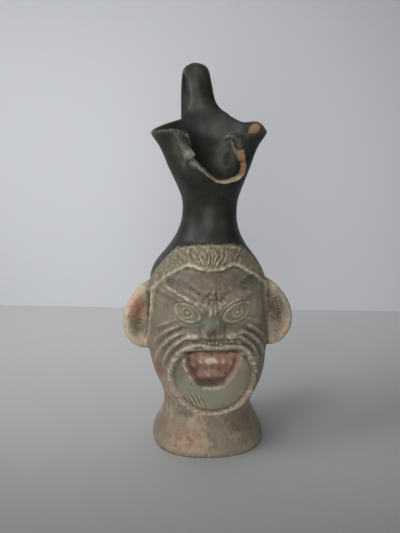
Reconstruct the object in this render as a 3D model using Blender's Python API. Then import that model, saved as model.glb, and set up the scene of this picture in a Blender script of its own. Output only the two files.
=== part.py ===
"""A figural oinochoe: a jug of fired clay in one piece.

Its body is a head pressed in a two-part mould, with the wide speaking mouth, knitted brows and
standing ears of a comic mask, and the throat of that head is the jug's foot. On the head stands
a neck thrown on the wheel, with a lip pinched on both sides of the spout, and a high strap handle
runs from the back of the lip to the nape. The spout is broken away, and the lip has a chip.

The face looks towards -Y and +Z is up. The origin is on the floor, under the middle of the jug.
Angles run round the jug from the front: 0 is the front, 90 degrees is +X.
"""

import math

import bmesh
import bpy
import numpy as np

MM = 0.001

# The moulded head, which is also the foot
HEAD_HEIGHT = 125.0 * MM  # from the floor to the top of the hair
HEAD_HALF_WIDTH = 34.0 * MM  # at the jaw, without the ears
HEAD_FRONT = 39.0 * MM  # from the jug's axis to the mouth
HEAD_BACK = 38.0 * MM  # from the jug's axis to the back of the head
FOOT_HALF_WIDTH = 33.2 * MM
FOOT_FRONT = 31.2 * MM
HEAD_WALL = 4.5 * MM
MOUTH_BACKING = 4.0 * MM  # extra clay pressed in behind the mouth
FLOOR_THICKNESS = 7.0 * MM

# The thrown neck and its lip
SHOULDER_RADIUS = 18.6 * MM  # where the neck leaves the head
NECK_RADIUS = 15.4 * MM  # at its narrowest
NECK_HEIGHT = 58.5 * MM  # from the top of the hair to the side lobes of the lip
LIP_HALF_WIDTH = 31.0 * MM  # across the side lobes
LIP_BACK_RADIUS = 24.5 * MM  # at the handle
PINCH_RADIUS = 19.5 * MM  # where the lip is pinched beside the spout
LIP_BACK_RISE = 8.5 * MM  # how far the lip climbs to the handle
NECK_LEAN = 1.3 * MM  # the neck stands a little off the axis, to +X
NECK_WALL = 3.0 * MM
LIP_THICKNESS = 3.2 * MM  # at its rolled edge

# The strap handle
STRAP_WIDTH = 14.8 * MM
STRAP_THICKNESS = 6.4 * MM
STRAP_CROWN = 1.4  # how much the outer face swells over the plain oval
HANDLE_RISE = 28.0 * MM  # top of the strap above the lip at its root
HANDLE_REACH = 50.0 * MM  # from the jug's axis to the middle of the strap
HANDLE_OFFSET = 2.0 * MM  # its root lies this far to -X
HANDLE_SKEW = 2.8 * MM  # and its back strap this much further

# The ears
EAR_REACH = 16.0 * MM  # beyond the side of the head
EAR_THICKNESS = 7.5 * MM
EAR_HOLLOW = 4.4 * MM
EAR_PLACE = -2.0 * MM  # the ears' middle, in Y

# The broken spout and the chip in the lip
BREAK_DEPTH = 26.0 * MM  # below the side lobes
BREAK_REACH = 60.0 * MM  # how far from the axis the cut is carried
CHIP_SIZE = (2.4 * MM, 5.6 * MM, 4.6 * MM)  # half its length in X, Y and Z
CHIP_INWARDS = 3.7 * MM  # its middle, from the lip's outside
CHIP_DROP = 1.4 * MM  # and below the lip's top

# The broken edge as (degrees from the front, share of the break's depth, how far the break opens outwards
# on each side of the wall's middle, as a share of the wall)
BREAK_EDGE = (
    (-41, 0.0, 0.1), (-43, 0.24, 0.1), (-41, 0.4, 0.13), (-35, 0.485, 0.2), (-27, 0.545, 0.27),
    (-16, 0.666, 0.33), (-5.4, 0.79, 0.37), (8, 0.925, 0.37), (18, 0.97, 0.37), (35, 0.945, 0.47),
    (50, 0.925, 0.33), (59, 0.89, 0.2), (63.5, 0.8, 0.13), (64.5, 0.67, 0.12), (61, 0.54, 0.17),
    (57.3, 0.39, 0.33), (54, 0.26, 0.33), (50, 0.14, 0.3), (43, 0.0, 0.2),
)
# The two ends of the curled lip as (degrees, share of the break's depth, distance from the axis and
# thickness as shares of the pinch)
LEFT_ROLL = (
    (-36, -0.023, 0.892, 0.133), (-38, 0.054, 0.923, 0.267), (-40, 0.185, 0.944, 0.349),
    (-39, 0.315, 0.938, 0.349), (-34, 0.465, 1.0, 0.297),
)
RIGHT_ROLL = (
    (27, 0.138, 0.8, 0.082), (31, 0.085, 0.862, 0.174), (38, 0.054, 0.933, 0.226), (46, 0.077, 0.985, 0.256),
    (52, 0.177, 1.02, 0.246), (55, 0.331, 1.02, 0.195),
)
CHIP_ANGLE = 104.0

# How finely the surfaces are worked out before they are thinned
COLUMNS = 120
FRONT_CROWDING = 0.55  # share by which the columns crowd together at the face
THROAT_ROWS = 14
JAW_ROWS = 5
HEAD_ROWS = 80
NECK_ROWS = 30
LIP_ROWS = 5
INSIDE_ROWS = 44
STRAP_ROWS = 60
STRAP_COLUMNS = 28
EAR_ROWS = 9
EAR_COLUMNS = 44
ROLL_ROWS = 12
ROLL_COLUMNS = 12
CHIP_ROWS = 8
CHIP_COLUMNS = 14
KEPT_TRIANGLES = 8700
SPARE_FOOT = 3.0 * MM  # clay below the floor, cut off level at the end

# Carving is given in millimetres on a head 125 mm tall and 34 mm to the side, and grows with the head.
# UP and ACROSS turn its heights and widths into metres.
CARVED_HEIGHT = 125.0
CARVED_HALF_WIDTH = 34.0
UP = HEAD_HEIGHT / CARVED_HEIGHT
ACROSS = HEAD_HALF_WIDTH / CARVED_HALF_WIDTH

# Outlines as (height on the carved head, share of the half width, front or back)
THROAT_SIDE = (
    (0, 0.98), (2.5, 1.0), (8, 0.96), (14, 0.862), (20, 0.795), (26, 0.783), (34, 0.825), (45, 0.945),
    (60, 1.022),
)
THROAT_FRONT = (
    (0, 0.98), (2.5, 1.0), (8, 0.96), (14, 0.88), (20, 0.808), (26, 0.788), (34, 0.83), (45, 0.93),
    (60, 1.03),
)
HEAD_SIDE = (
    (25, 0.83), (30, 0.885), (40, 0.95), (50, 0.988), (60, 1.0), (70, 0.99), (80, 0.978), (90, 0.982),
    (98, 0.985), (104, 0.95), (110, 0.85), (115, 0.741), (120, 0.635), (125, 0.547),
)
HEAD_FACE = (
    (25, 0.93), (30, 0.975), (40, 1.0), (50, 1.005), (60, 0.99), (70, 0.95), (80, 0.905), (90, 0.885),
    (98, 0.872), (104, 0.836), (110, 0.775), (115, 0.692), (120, 0.59), (125, 0.477),
)
HEAD_NAPE = (
    (0, 0.815), (2.5, 0.83), (8, 0.81), (14, 0.758), (20, 0.727), (26, 0.747), (34, 0.815), (45, 0.885),
    (60, 0.947), (70, 0.98), (80, 1.0), (90, 1.0), (98, 0.974), (104, 0.908), (110, 0.803), (115, 0.70),
    (120, 0.595), (125, 0.49),
)
# The lip's height as (degrees from the front, share of the climb to the handle)
LIP_CLIMB = (
    (0, 0.0), (47, -0.08), (80, 0.0), (92, 0.06), (104, 0.2), (120, 0.4), (140, 0.64), (160, 0.9),
    (180, 1.0),
)
# Where the lip stands higher, as (degrees from the front, width in degrees, share of the same climb)
LIP_HUMPS = ((-62, 18, 0.32), (104, 12, 0.28))
# The lip seen from above as (degrees from the front, the radius it follows, share of it)
LIP_OUTLINE = (
    (0, "lobe", 0.95), (24, "lobe", 0.86), (47, "pinch", 1.0), (66, "lobe", 0.85), (86, "lobe", 1.0),
    (122, "lobe", 0.93), (152, "back", 1.05), (180, "back", 1.0),
)
# The handle's root in the neck's wall as (share of the neck's height, width, thickness, bow, move to +X).
# The last four are shares of the strap's own width and thickness, of the curve of the wall that it lies
# against, and of the strap's width.
HANDLE_ROOT = (
    (0.74, 1.5, 0.15, 1.05, 0.07), (0.85, 1.9, 0.3, 0.84, 0.2), (0.955, 2.15, 0.42, 0.71, 0.34),
)
# Its arch as (share of the way out, share of the way up, width, thickness, bow, move to +X)
HANDLE_ARCH = (
    (0.03, 0.04, 1.45, 0.62, 0.85, 0.2), (0.07, 0.14, 1.22, 0.84, 0.4, 0.13),
    (0.14, 0.3, 1.06, 0.98, 0.1, 0.07), (0.25, 0.66, 0.99, 1.0, 0.0, 0.02),
    (0.42, 0.91, 0.98, 1.0, 0.0, 0.0), (0.64, 1.0, 0.98, 1.0, 0.0, 0.0), (0.85, 0.86, 1.0, 1.0, 0.0, 0.0),
    (0.965, 0.5, 1.0, 1.0, 0.0, 0.0),
)
# Its fall as (share of the way out from the nape, share of the way up to the lip, and the rest as above)
HANDLE_FALL = (
    (1.0, 0.97, 1.0, 1.0, 0.0, 0.0), (0.99, 0.78, 1.0, 1.0, 0.0, 0.0), (0.92, 0.58, 1.0, 1.0, 0.0, 0.0),
    (0.79, 0.40, 1.0, 1.0, 0.0, 0.0), (0.62, 0.25, 1.02, 1.0, 0.1, 0.0), (0.42, 0.14, 1.12, 1.0, 0.5, 0.0),
    (0.24, 0.06, 1.35, 0.95, 1.0, 0.0), (0.08, -0.01, 1.6, 0.7, 1.3, 0.0), (-0.02, -0.06, 1.5, 0.3, 1.4, 0.0),
)
NAPE_HEIGHT = 110.6  # on the carved head, where the handle ends
ROUND_FROM = 104.0  # on the carved head, where it starts to turn into the round neck
NECK_FROM = 112.0  # and where it starts to narrow to the neck
FLOOR_CORNER = 8.0  # on the carved head, how far up the floor's rounded corner reaches
JAW_BESIDE = 59.0  # the beard's under edge on the carved head, at the ears
JAW_DROP = 29.0  # and how much lower it is under the mouth
EAR_MIDDLE = 79.25  # on the carved head
EAR_TALL = 20.75
EAR_DROP = 4.25
# The neck's outline as (share of its height, share of the way from the narrowest part to the side lobes)
NECK_OUTLINE = (
    (0, 0.205), (0.07, 0.105), (0.155, 0.026), (0.256, 0.0), (0.36, 0.026), (0.46, 0.141),
    (0.576, 0.314), (0.684, 0.474), (0.803, 0.615), (0.872, 0.718), (0.916, 0.808), (0.957, 0.91),
    (1.0, 1.0),
)


def smooth_through(points, at):
    """The curve through (position, value) pairs that leaves each with the slope between its neighbours."""
    where, value = np.array(points, float).T
    at = np.clip(at, where[0], where[-1])
    slope = np.gradient(value, where)
    left = np.clip(np.searchsorted(where, at, side="right") - 1, 0, len(where) - 2)
    step = where[left + 1] - where[left]
    t = (at - where[left]) / step
    return (
        (2 * t**3 - 3 * t**2 + 1) * value[left]
        + (t**3 - 2 * t**2 + t) * step * slope[left]
        + (3 * t**2 - 2 * t**3) * value[left + 1]
        + (t**3 - t**2) * step * slope[left + 1]
    )


def ease(low, high, at):
    """0 below low, 1 above high, and a smooth S between them."""
    t = np.clip((at - low) / (high - low), 0, 1)
    return t * t * (3 - 2 * t)


def section_radius(side, depth, angle, squareness=2.3):
    """Distance from the axis to a rounded outline of that half width and depth, at an angle."""
    return (
        (np.abs(np.sin(angle)) / side) ** squareness
        + (np.abs(np.cos(angle)) / depth) ** squareness
    ) ** (-1 / squareness)


def head_radius(side_outline, front_outline, side, front, height, angle):
    """The plain surface of the head or of its throat, before it is carved. Height is on the carved head."""
    facing = np.cos(angle) > 0
    depth = np.where(
        facing,
        smooth_through(front_outline, height) * front,
        smooth_through(HEAD_NAPE, height) * HEAD_BACK,
    )
    rounding = ease(ROUND_FROM, CARVED_HEIGHT, height)
    half = smooth_through(side_outline, height) * side
    plain = section_radius(half, depth, angle, 2.3 - 0.3 * rounding)
    to_neck = ease(NECK_FROM, CARVED_HEIGHT, height)
    return plain + (SHOULDER_RADIUS - HEAD_SIDE[-1][1] * HEAD_HALF_WIDTH) * to_neck


def throat_surface(height, angle):
    return head_radius(THROAT_SIDE, THROAT_FRONT, FOOT_HALF_WIDTH, FOOT_FRONT, height, angle)


def face_surface(height, angle):
    return head_radius(HEAD_SIDE, HEAD_FACE, HEAD_HALF_WIDTH, HEAD_FRONT, height, angle)


def jaw_height(angle):
    """The under edge of the beard: an arc under the mouth that ends at the foot of each ear."""
    front = np.clip(np.cos(angle), 0, 1)
    return JAW_BESIDE - JAW_DROP * front**1.4


# Carving of the face, in millimetres of the carved head: x across, z up, result outwards
HAIRLINE = (
    (0, 111.8), (6, 112.4), (11.5, 113.8), (16, 112.4), (20, 109.6), (24.5, 106.5), (29, 101.0), (34, 94.0),
)
HAIR_TOP = (
    (0, 123.6), (10, 122.8), (15, 121.2), (18.4, 118.6), (24, 111.6), (27.5, 106.2), (31, 101.0), (34, 96.0),
)
LOCK_WIDTH = 2.3
LOCK_SLANT = 0.4
EYE = (13.8, 89.0)
EYE_SLANT = math.radians(22)
EYE_SIZE = (8.1, 4.7)
EYE_UNLIKE = 0.07  # the eye at +X is longer by this share, and the other shorter
PUPIL_RING = 2.8
FOREHEAD = (0, 104.5)
FOREHEAD_SIZE = (17.0, 7.5)
BROW = ((3.2, 92.0), (9.0, 94.6), (17.0, 98.4), (25.0, 100.6))
FURROW = ((4.0, 97.0), (10.0, 99.0), (17.0, 102.4), (23.0, 105.5))
FROWN = ((1.6, 99.5), (2.0, 94.0), (3.0, 89.5))
TRUMPET = (0.4, 52.6, 21.4, 18.6)
MOUTH_TOP = 67.6
MOUTH_DEPTH = 20.4
MOUTH_HALF_WIDTH = 16.4
MOUTH_SKEW = 0.2  # how far the mouth leans to -X on its way down
MOUTH_TAPER = 0.25
MOUTH_SUNK = 2.6
UPPER_LIP = (
    (-19.0, 66.5), (-14.5, 69.9), (-7.0, 72.0), (-3.0, 70.8), (4.0, 70.8), (11.0, 70.6), (16.0, 69.6),
    (20.0, 66.0),
)
# The ridge before each ear as (height, degrees from the front)
EAR_RIDGE = ((56, 85), (64, 84), (75, 79), (90, 69), (100, 60), (106, 52), (112, 46))


def near_line(x, z, points, width, steps=20):
    """1 on the smooth line through these points, falling to 0 at that distance from it."""
    index = np.arange(len(points))
    along = np.linspace(0, len(points) - 1, steps)
    px = smooth_through([(i, p[0]) for i, p in zip(index, points)], along)
    pz = smooth_through([(i, p[1]) for i, p in zip(index, points)], along)
    nearest = np.full(x.shape, np.inf)
    for ax, az, bx, bz in zip(px[:-1], pz[:-1], px[1:], pz[1:]):
        dx, dz = bx - ax, bz - az
        t = np.clip(((x - ax) * dx + (z - az) * dz) / (dx * dx + dz * dz), 0, 1)
        nearest = np.minimum(nearest, np.hypot(x - ax - t * dx, z - az - t * dz))
    return 1 - ease(0, width, nearest)


def mound(x, z, middle, size, slant=0.0):
    """A rounded mound, 1 at its middle, that fades at about that half length and half height."""
    dx, dz = x - middle[0], z - middle[1]
    along = dx * math.cos(slant) + dz * math.sin(slant)
    over = dz * math.cos(slant) - dx * math.sin(slant)
    return np.exp(-((along / size[0]) ** 2) - (over / size[1]) ** 2)


def rise(at, middle, width):
    """A ridge across one measure: 1 at its middle, fading at about that width."""
    return np.exp(-(((at - middle) / width) ** 2))


def carve_hair(x, z):
    """A raised band between the hairline and the glaze, with locks in its middle and a ridge at each edge."""
    beside = np.abs(x)
    low = smooth_through(HAIRLINE, beside)
    high = smooth_through(HAIR_TOP, beside)
    band = ease(low - 0.6, low + 0.8, z) * (1 - ease(high - 0.6, high + 0.8, z))
    across = (z - low) / (high - low)
    locks = np.cos(2 * math.pi * (x - LOCK_SLANT * np.sign(x + 4) * (z - high)) / LOCK_WIDTH)
    combed = ease(0.16, 0.3, across) * (1 - ease(0.6, 0.74, across)) * (1 - ease(13, 17, beside))
    return (0.9 + 0.45 * locks * combed) * band + 1.0 * rise(z, low, 0.9) + 0.35 * rise(z, high, 0.7)


def carve_brows(x, z):
    """Knitted brows that fall to the root of the nose, a furrow over them and a full forehead."""
    beside = np.abs(x)
    brow = 2.1 * near_line(beside, z, BROW, 5.6) - 0.45 * near_line(beside, z, FURROW, 3.4)
    forehead = 1.3 * mound(x, z, FOREHEAD, FOREHEAD_SIZE) - 0.9 * mound(x, z, (20.5, 103.2), (4.2, 3.0), -0.5)
    return brow + forehead - 0.45 * near_line(beside, z, FROWN, 1.6)


def carve_eyes(x, z):
    """Slanting eyes in shallow sockets: soft raised lids about a ball, with a ring round the pupil."""
    dx, dz = np.abs(x) - EYE[0], z - EYE[1]
    long = EYE_SIZE[0] * (1 + EYE_UNLIKE * np.sign(x))
    along = (dx * math.cos(EYE_SLANT) + dz * math.sin(EYE_SLANT)) / long
    over = (dz * math.cos(EYE_SLANT) - dx * math.sin(EYE_SLANT)) / EYE_SIZE[1]
    # An almond: its height narrows towards both corners
    edge = np.hypot(along, over / np.sqrt(np.clip(1 - 0.35 * along**2, 0.25, 1)))
    socket = -1.6 * np.exp(-((along / 1.4) ** 2) - (over / 1.8) ** 2)
    ball = 1.3 * np.sqrt(np.clip(1 - (edge / 0.92) ** 2, 0, 1))
    lids = 1.1 * rise(edge, 1.0, 0.15) - 0.2 * rise(edge, 1.25, 0.12) + 0.5 * rise(edge, 1.45, 0.15)
    pupil = np.hypot(dx, dz) / PUPIL_RING
    return socket + ball + lids + 0.4 * rise(pupil, 1.0, 0.2) - 0.3 * rise(pupil, 0.62, 0.18)


def carve_nose(x, z):
    """A short nose, narrow between the eyes, with wide wings and a round, battered tip."""
    beside = np.abs(x)
    down = np.clip((92.0 - z) / 14.0, 0, 1)
    half = 3.2 + 4.4 * down**1.6
    bridge = (0.9 + 3.6 * down**1.3) * (1 - ease(0.2, 1.4, beside / half)) * ease(73.6, 76.8, z)
    bridge = bridge * (1 - ease(89, 96, z))
    wing = 3.4 * mound(beside, z, (9.8, 76.8), (5.2, 3.4)) * ease(73.0, 75.6, z)
    nostril = -1.0 * mound(beside, z, (4.8, 75.0), (2.0, 1.2))
    tip = 1.9 * mound(x, z, (-0.9, 79.0), (3.4, 3.2)) - 0.9 * mound(x, z, (-0.9, 79.6), (1.6, 1.7))
    return np.maximum(bridge, wing) + nostril + tip


def carve_cheeks(x, z):
    """The folds that the shout pushes up: arcs about the mouth from the wings of the nose to the jaw."""
    dx, dz = (np.abs(x) - TRUMPET[0]) / 21.0, (z - 55.0) / 19.0
    around = np.hypot(dx, dz)
    turn = np.degrees(np.arctan2(dz, dx))
    reach = ease(-12, 15, turn) * (1 - ease(52, 66, turn))
    folds = 0
    for radius, high, wide in ((1.26, 0.75, 0.05), (1.42, 0.9, 0.055), (1.6, 0.75, 0.05)):
        folds = folds + high * rise(around, radius, wide)
    return folds * reach + 1.2 * mound(np.abs(x), z, (22.5, 82.0), (6.5, 3.6), -0.35)


def inside_mouth(x, z):
    """Millimetres inside the mouth's edge: a bowl of power 3 under a level top, narrowing on its way down."""
    level = np.clip((MOUTH_TOP - z) / MOUTH_DEPTH, 0, None)
    half = MOUTH_HALF_WIDTH * (1 - MOUTH_TAPER * np.clip(level, 0, 1))
    wide = np.abs(x - TRUMPET[0] + MOUTH_SKEW * (MOUTH_TOP - z)) / half
    return np.minimum((1 - (level**3 + wide**3) ** (1 / 3)) * 15.0, MOUTH_TOP - z)


def carve_mouth(x, z):
    """A trumpet: a shallow funnel inside the beard's raised edge, with a sunken opening and a tongue."""
    ring = np.hypot((x - TRUMPET[0]) / TRUMPET[2], (z - TRUMPET[1]) / TRUMPET[3])
    opening = ease(-0.8, 1.8, inside_mouth(x, z))
    beard = 1.45 * rise(ring, 1.12, 0.09) * (1 - ease(66, 72, z))
    funnel = -2.2 * (1 - ease(0.25, 1.0, ring)) - 0.4 * rise(ring, 1.005, 0.045)
    tongue = 2.1 * mound(x, z, (-1.0, 61.5), (12.0, 4.6)) + 1.0 * mound(x, z, (-3.5, 53.5), (7.0, 3.6))
    upper_lip = 1.5 * near_line(x, z, UPPER_LIP, 1.8)
    return beard * (1 - opening) + funnel + (tongue - MOUTH_SUNK) * opening + upper_lip


def carving(x, z):
    """All of the face's relief."""
    face = carve_brows(x, z) + carve_eyes(x, z) + carve_nose(x, z) + carve_cheeks(x, z) + carve_mouth(x, z)
    below_hair = 1 - ease(-2.0, 0.5, z - smooth_through(HAIRLINE, np.abs(x)))
    return carve_hair(x, z) + face * below_hair


def degrees_beside(angle):
    """How far an angle lies from the front, 0 to 180 degrees on either side."""
    return np.abs((np.degrees(angle) + 180) % 360 - 180)


def ear_root(height, angle):
    """The ridge in front of each ear, from the hair down to the jaw."""
    along = ease(56, 63, height) * (1 - ease(100, 107, height))
    return 1.5 * along * rise(degrees_beside(angle), smooth_through(EAR_RIDGE, height), 3.4)


def outside_of_head(height, angle, over_jaw):
    """Distance from the axis to the carved head. over_jaw is 0 on the throat and 1 on the head."""
    throat = throat_surface(height, angle)
    plain = face_surface(height, angle)
    x = plain * np.sin(angle) / ACROSS
    facing = ease(0.02, 0.3, np.cos(angle))
    relief = (carving(x, height) * facing + ear_root(height, angle)) * UP
    return throat * (1 - over_jaw) + (plain + relief) * over_jaw


def lip_height(angle):
    """Height of the lip above the top of the hair: level round the lobes but for two soft humps, and
    climbing to the handle."""
    turned = (np.degrees(angle) + 180) % 360 - 180
    climb = smooth_through(LIP_CLIMB, np.abs(turned)) * (1 + 0.22 * np.sin(angle))
    humps = sum(high * rise(turned, middle, wide) for middle, wide, high in LIP_HUMPS)
    return NECK_HEIGHT + (climb + humps) * LIP_BACK_RISE


def lip_radius(angle):
    """The lip seen from above: two side lobes, a pinch on each side of the spout, and the handle's side."""
    sizes = {"lobe": LIP_HALF_WIDTH, "pinch": PINCH_RADIUS, "back": LIP_BACK_RADIUS}
    plan = [(degrees, sizes[size] * share) for degrees, size, share in LIP_OUTLINE]
    return smooth_through(plan, degrees_beside(angle))


def outside_of_neck(share, angle):
    """Distance from the neck's axis to its outside, at a share of the way up to the lip."""
    outline = smooth_through(NECK_OUTLINE, share)
    first = NECK_OUTLINE[0][1]
    round_neck = NECK_RADIUS + (LIP_HALF_WIDTH - NECK_RADIUS) * outline
    start = NECK_RADIUS + (LIP_HALF_WIDTH - NECK_RADIUS) * first
    round_neck = round_neck + (SHOULDER_RADIUS - start) * (1 - ease(0, 0.2, share))
    lobed = ease(0.5, 0.97, share)
    return round_neck * (1 + lobed * (lip_radius(angle) / LIP_HALF_WIDTH - 1))


def lean(height):
    """How far the axis has moved to +X at this height in metres: most half way up the neck."""
    share = np.clip((height - HEAD_HEIGHT * 0.9) / (NECK_HEIGHT + HEAD_HEIGHT * 0.1), 0, 1)
    return NECK_LEAN * np.sin(math.pi * share) ** 2


def column_angles():
    turn = np.arange(COLUMNS) / COLUMNS * 2 * math.pi
    return turn - FRONT_CROWDING * np.sin(turn)


def ring_points(radius, height, angle):
    height = np.broadcast_to(height, radius.shape)
    return np.stack([lean(height) + radius * np.sin(angle), -radius * np.cos(angle), height], axis=-1)


def outer_rings(angle):
    """Rings of points from the floor up the outside to the lip."""
    rings = []
    jaw = jaw_height(angle)
    for t in np.linspace(0, 1, THROAT_ROWS):
        height = (jaw - 1.2) * t
        rings.append(ring_points(outside_of_head(height, angle, 0.0), height * UP, angle))
    for t in np.linspace(0, 1, JAW_ROWS + 2)[1:]:
        height = jaw - 1.2 + 2.6 * t
        rings.append(ring_points(outside_of_head(height, angle, ease(0, 1, t)), height * UP, angle))
    for t in np.linspace(0, 1, HEAD_ROWS)[1:-1]:
        height = (jaw + 1.4) * (1 - t) + CARVED_HEIGHT * t
        rings.append(ring_points(outside_of_head(height, angle, 1.0), height * UP, angle))
    for t in np.linspace(0, 1, NECK_ROWS):
        height = HEAD_HEIGHT + t * (lip_height(angle) - LIP_THICKNESS / 2)
        rings.append(ring_points(outside_of_neck(t, angle), height, angle))
    return rings


def lip_rings(angle):
    """Rings over the rounded lip, from its outside to its inside."""
    rings = []
    half = LIP_THICKNESS / 2
    middle = outside_of_neck(np.ones_like(angle), angle) - half
    for turn in np.linspace(0, math.pi, LIP_ROWS + 2)[1:-1]:
        height = HEAD_HEIGHT + lip_height(angle) - half * (1 - math.sin(turn))
        rings.append(ring_points(middle + half * math.cos(turn), height, angle))
    return rings


def inside_of_head(height, angle):
    """The smooth hollow of the head: a wall's thickness inside it, with more clay behind the mouth."""
    widening = ease(34, 60, height)
    plain = throat_surface(height, angle) * (1 - widening) + face_surface(height, angle) * widening
    backing = MOUTH_BACKING * rise(height, 58, 14) * np.clip(np.cos(angle), 0, 1) ** 2
    shoulder = ease(100, CARVED_HEIGHT, height)
    return plain - HEAD_WALL * (1 - shoulder) - NECK_WALL * shoulder - backing


def inner_rings(angle):
    """Rings down the inside, from the lip to the floor."""
    rings = []
    for t in np.linspace(1, 0, NECK_ROWS)[:-1]:
        height = HEAD_HEIGHT + t * (lip_height(angle) - LIP_THICKNESS / 2)
        wall = NECK_WALL + (LIP_THICKNESS - NECK_WALL) * ease(0.7, 1.0, np.array(t))
        rings.append(ring_points(outside_of_neck(t, angle) - wall, height, angle))
    floor = FLOOR_THICKNESS / UP
    low = floor + FLOOR_CORNER
    for t in np.linspace(1, 0, INSIDE_ROWS):
        height = low + (CARVED_HEIGHT - low) * t + 0 * angle
        rings.append(ring_points(inside_of_head(height, angle), height * UP, angle))
    wall_foot = inside_of_head(low + 0 * angle, angle)
    for turn in np.linspace(0, math.pi / 2, 6)[1:]:
        height = floor + FLOOR_CORNER * (1 - math.sin(turn))
        inwards = FLOOR_CORNER * UP * (1 - math.cos(turn))
        rings.append(ring_points(wall_foot - inwards, height * UP, angle))
    return rings


def closed_mesh(name, rings, first, last):
    """A closed body from rings of points with a point at each end. The rings turn left as they go up."""
    count = len(rings[0])
    points = np.concatenate([first[None], *rings, last[None]])
    here = np.arange(count)
    after = (here + 1) % count
    faces = [(0, 1 + b, 1 + a) for a, b in zip(here, after)]
    for row in range(len(rings) - 1):
        low = 1 + row * count
        high = low + count
        faces += [(low + a, low + b, high + b, high + a) for a, b in zip(here, after)]
    top = 1 + (len(rings) - 1) * count
    faces += [(top + a, top + b, len(points) - 1) for a, b in zip(here, after)]
    mesh = bpy.data.meshes.new(name)
    mesh.from_pydata(points.tolist(), [], faces)
    shape = bpy.data.objects.new(name, mesh)
    bpy.context.collection.objects.link(shape)
    return shape


def make_body():
    """The moulded head and the thrown neck, hollow from the lip down to the floor of the head."""
    angle = column_angles()
    edge = outside_of_head(0 * angle, angle, 0.0)
    below = [ring_points(edge * share, -SPARE_FOOT, angle) for share in (0.5, 1.0)]
    inside = inner_rings(angle)
    floor = inside[-1]
    inside.append(floor * np.array([0.5, 0.5, 1.0]))
    rings = below + outer_rings(angle) + lip_rings(angle) + inside
    return closed_mesh("oinochoe", rings, np.array([0, 0, -SPARE_FOOT]), np.array([0, 0, floor[0, 2]]))


def strap_path():
    """The handle's middle line, up the lip's back, over and down: how far out it is, its place, and the
    strap's width, thickness, bow and move to +X."""
    back = np.array([math.pi])
    lip_up = lip_height(back)[0]
    lip_y = LIP_BACK_RADIUS - NECK_WALL / 2
    lip_z = HEAD_HEIGHT + lip_up
    nape_y = face_surface(np.array([NAPE_HEIGHT]), back)[0] - HEAD_WALL / 2
    nape_z = NAPE_HEIGHT * UP
    stations = []
    for share, wide, deep, bow, aside in HANDLE_ROOT:
        y = outside_of_neck(np.array([share]), back)[0] - NECK_WALL / 2
        stations.append((0.0, y, HEAD_HEIGHT + share * lip_up, wide, deep, bow / LIP_BACK_RADIUS, aside))
    for out, up, wide, deep, bow, aside in HANDLE_ARCH:
        y = lip_y + (HANDLE_REACH - lip_y) * out
        z = lip_z + (HANDLE_RISE - STRAP_CROWN * STRAP_THICKNESS / 2) * up
        stations.append((out, y, z, wide, deep, bow / LIP_BACK_RADIUS, aside))
    for out, up, wide, deep, bow, aside in HANDLE_FALL:
        y = nape_y + (HANDLE_REACH - nape_y) * out
        z = nape_z + (lip_z - nape_z) * up
        stations.append((out, y, z, wide, deep, bow / HEAD_BACK, aside))
    return np.array(stations) * (1, 1, 1, STRAP_WIDTH, STRAP_THICKNESS, 1, STRAP_WIDTH)


def make_handle():
    """A strap with round edges, crowned outside with a low ridge along it, swept along its path."""
    stations = strap_path()
    place = np.arange(len(stations))
    along = np.linspace(0, len(stations) - 1, STRAP_ROWS)
    out, y, z, width, thick, bow, aside = (
        smooth_through(np.stack([place, column], axis=1), along) for column in stations.T
    )
    x = aside - HANDLE_OFFSET - HANDLE_SKEW * out
    dy = np.gradient(y)
    dz = np.gradient(z)
    length = np.hypot(dy, dz)
    turn = np.arange(STRAP_COLUMNS) / STRAP_COLUMNS * 2 * math.pi
    rings = []
    for i in range(STRAP_ROWS):
        side = np.cos(turn) * width[i] / 2
        # The flared ends thin out towards their edges and die into the wall
        flared = np.clip(bow[i] * LIP_BACK_RADIUS, 0, 1)
        depth = np.sign(np.sin(turn)) * np.abs(np.sin(turn)) ** (0.9 + 1.3 * flared)
        crown = 1 + (STRAP_CROWN - 1) * (depth > 0) * (1 - flared)
        ridge = 0.1 * rise(np.cos(turn), 0.15, 0.3) * (depth > 0)
        deep = (depth * crown + ridge) * thick[i] / 2
        ring_y = y[i] - dz[i] / length[i] * deep - bow[i] * (x[i] - side) ** 2 / 2
        rings.append(np.stack([x[i] - side, ring_y, z[i] + dy[i] / length[i] * deep], axis=-1))
    return closed_mesh("handle", rings, rings[0].mean(axis=0), rings[-1].mean(axis=0))


def make_ear(side):
    """A standing ear, facing forwards: a thick round rim about a hollow. side is 1 for +X and -1 for -X."""
    turn = np.arange(EAR_COLUMNS) / EAR_COLUMNS * 2 * math.pi
    root = HEAD_WALL * 0.6
    # Its edges run a little straighter than an oval's
    outward = np.clip(np.cos(turn), 0, 1) ** 1.22 * EAR_REACH
    outward = outward - np.clip(-np.cos(turn), 0, 1) * root
    upward = (np.sin(turn) * EAR_TALL - np.clip(np.cos(turn), 0, 1) * EAR_DROP) * UP
    half = EAR_THICKNESS / 2
    rings = []
    for row in range(2 * EAR_ROWS):
        front = row < EAR_ROWS
        share = (row + 1) / EAR_ROWS if front else (2 * EAR_ROWS - row) / (EAR_ROWS + 0.6)
        edge = math.sqrt(max(0.0, 1 - min(share, 1.0) ** 5))
        cup = EAR_HOLLOW * (1 - float(ease(0.42, 0.85, share)))
        y = -half * edge + cup if front else half * edge
        ring_x = HEAD_HALF_WIDTH - 0.5 * MM + outward * share
        lean_forward = 0.2 * outward * share
        ring_z = EAR_MIDDLE * UP + upward * share
        rings.append(np.stack([side * ring_x, EAR_PLACE + y - lean_forward, ring_z], axis=-1))
    if side > 0:
        rings = [ring[::-1] for ring in rings]
    return closed_mesh("ear", rings, rings[0].mean(axis=0), rings[-1].mean(axis=0))


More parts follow.
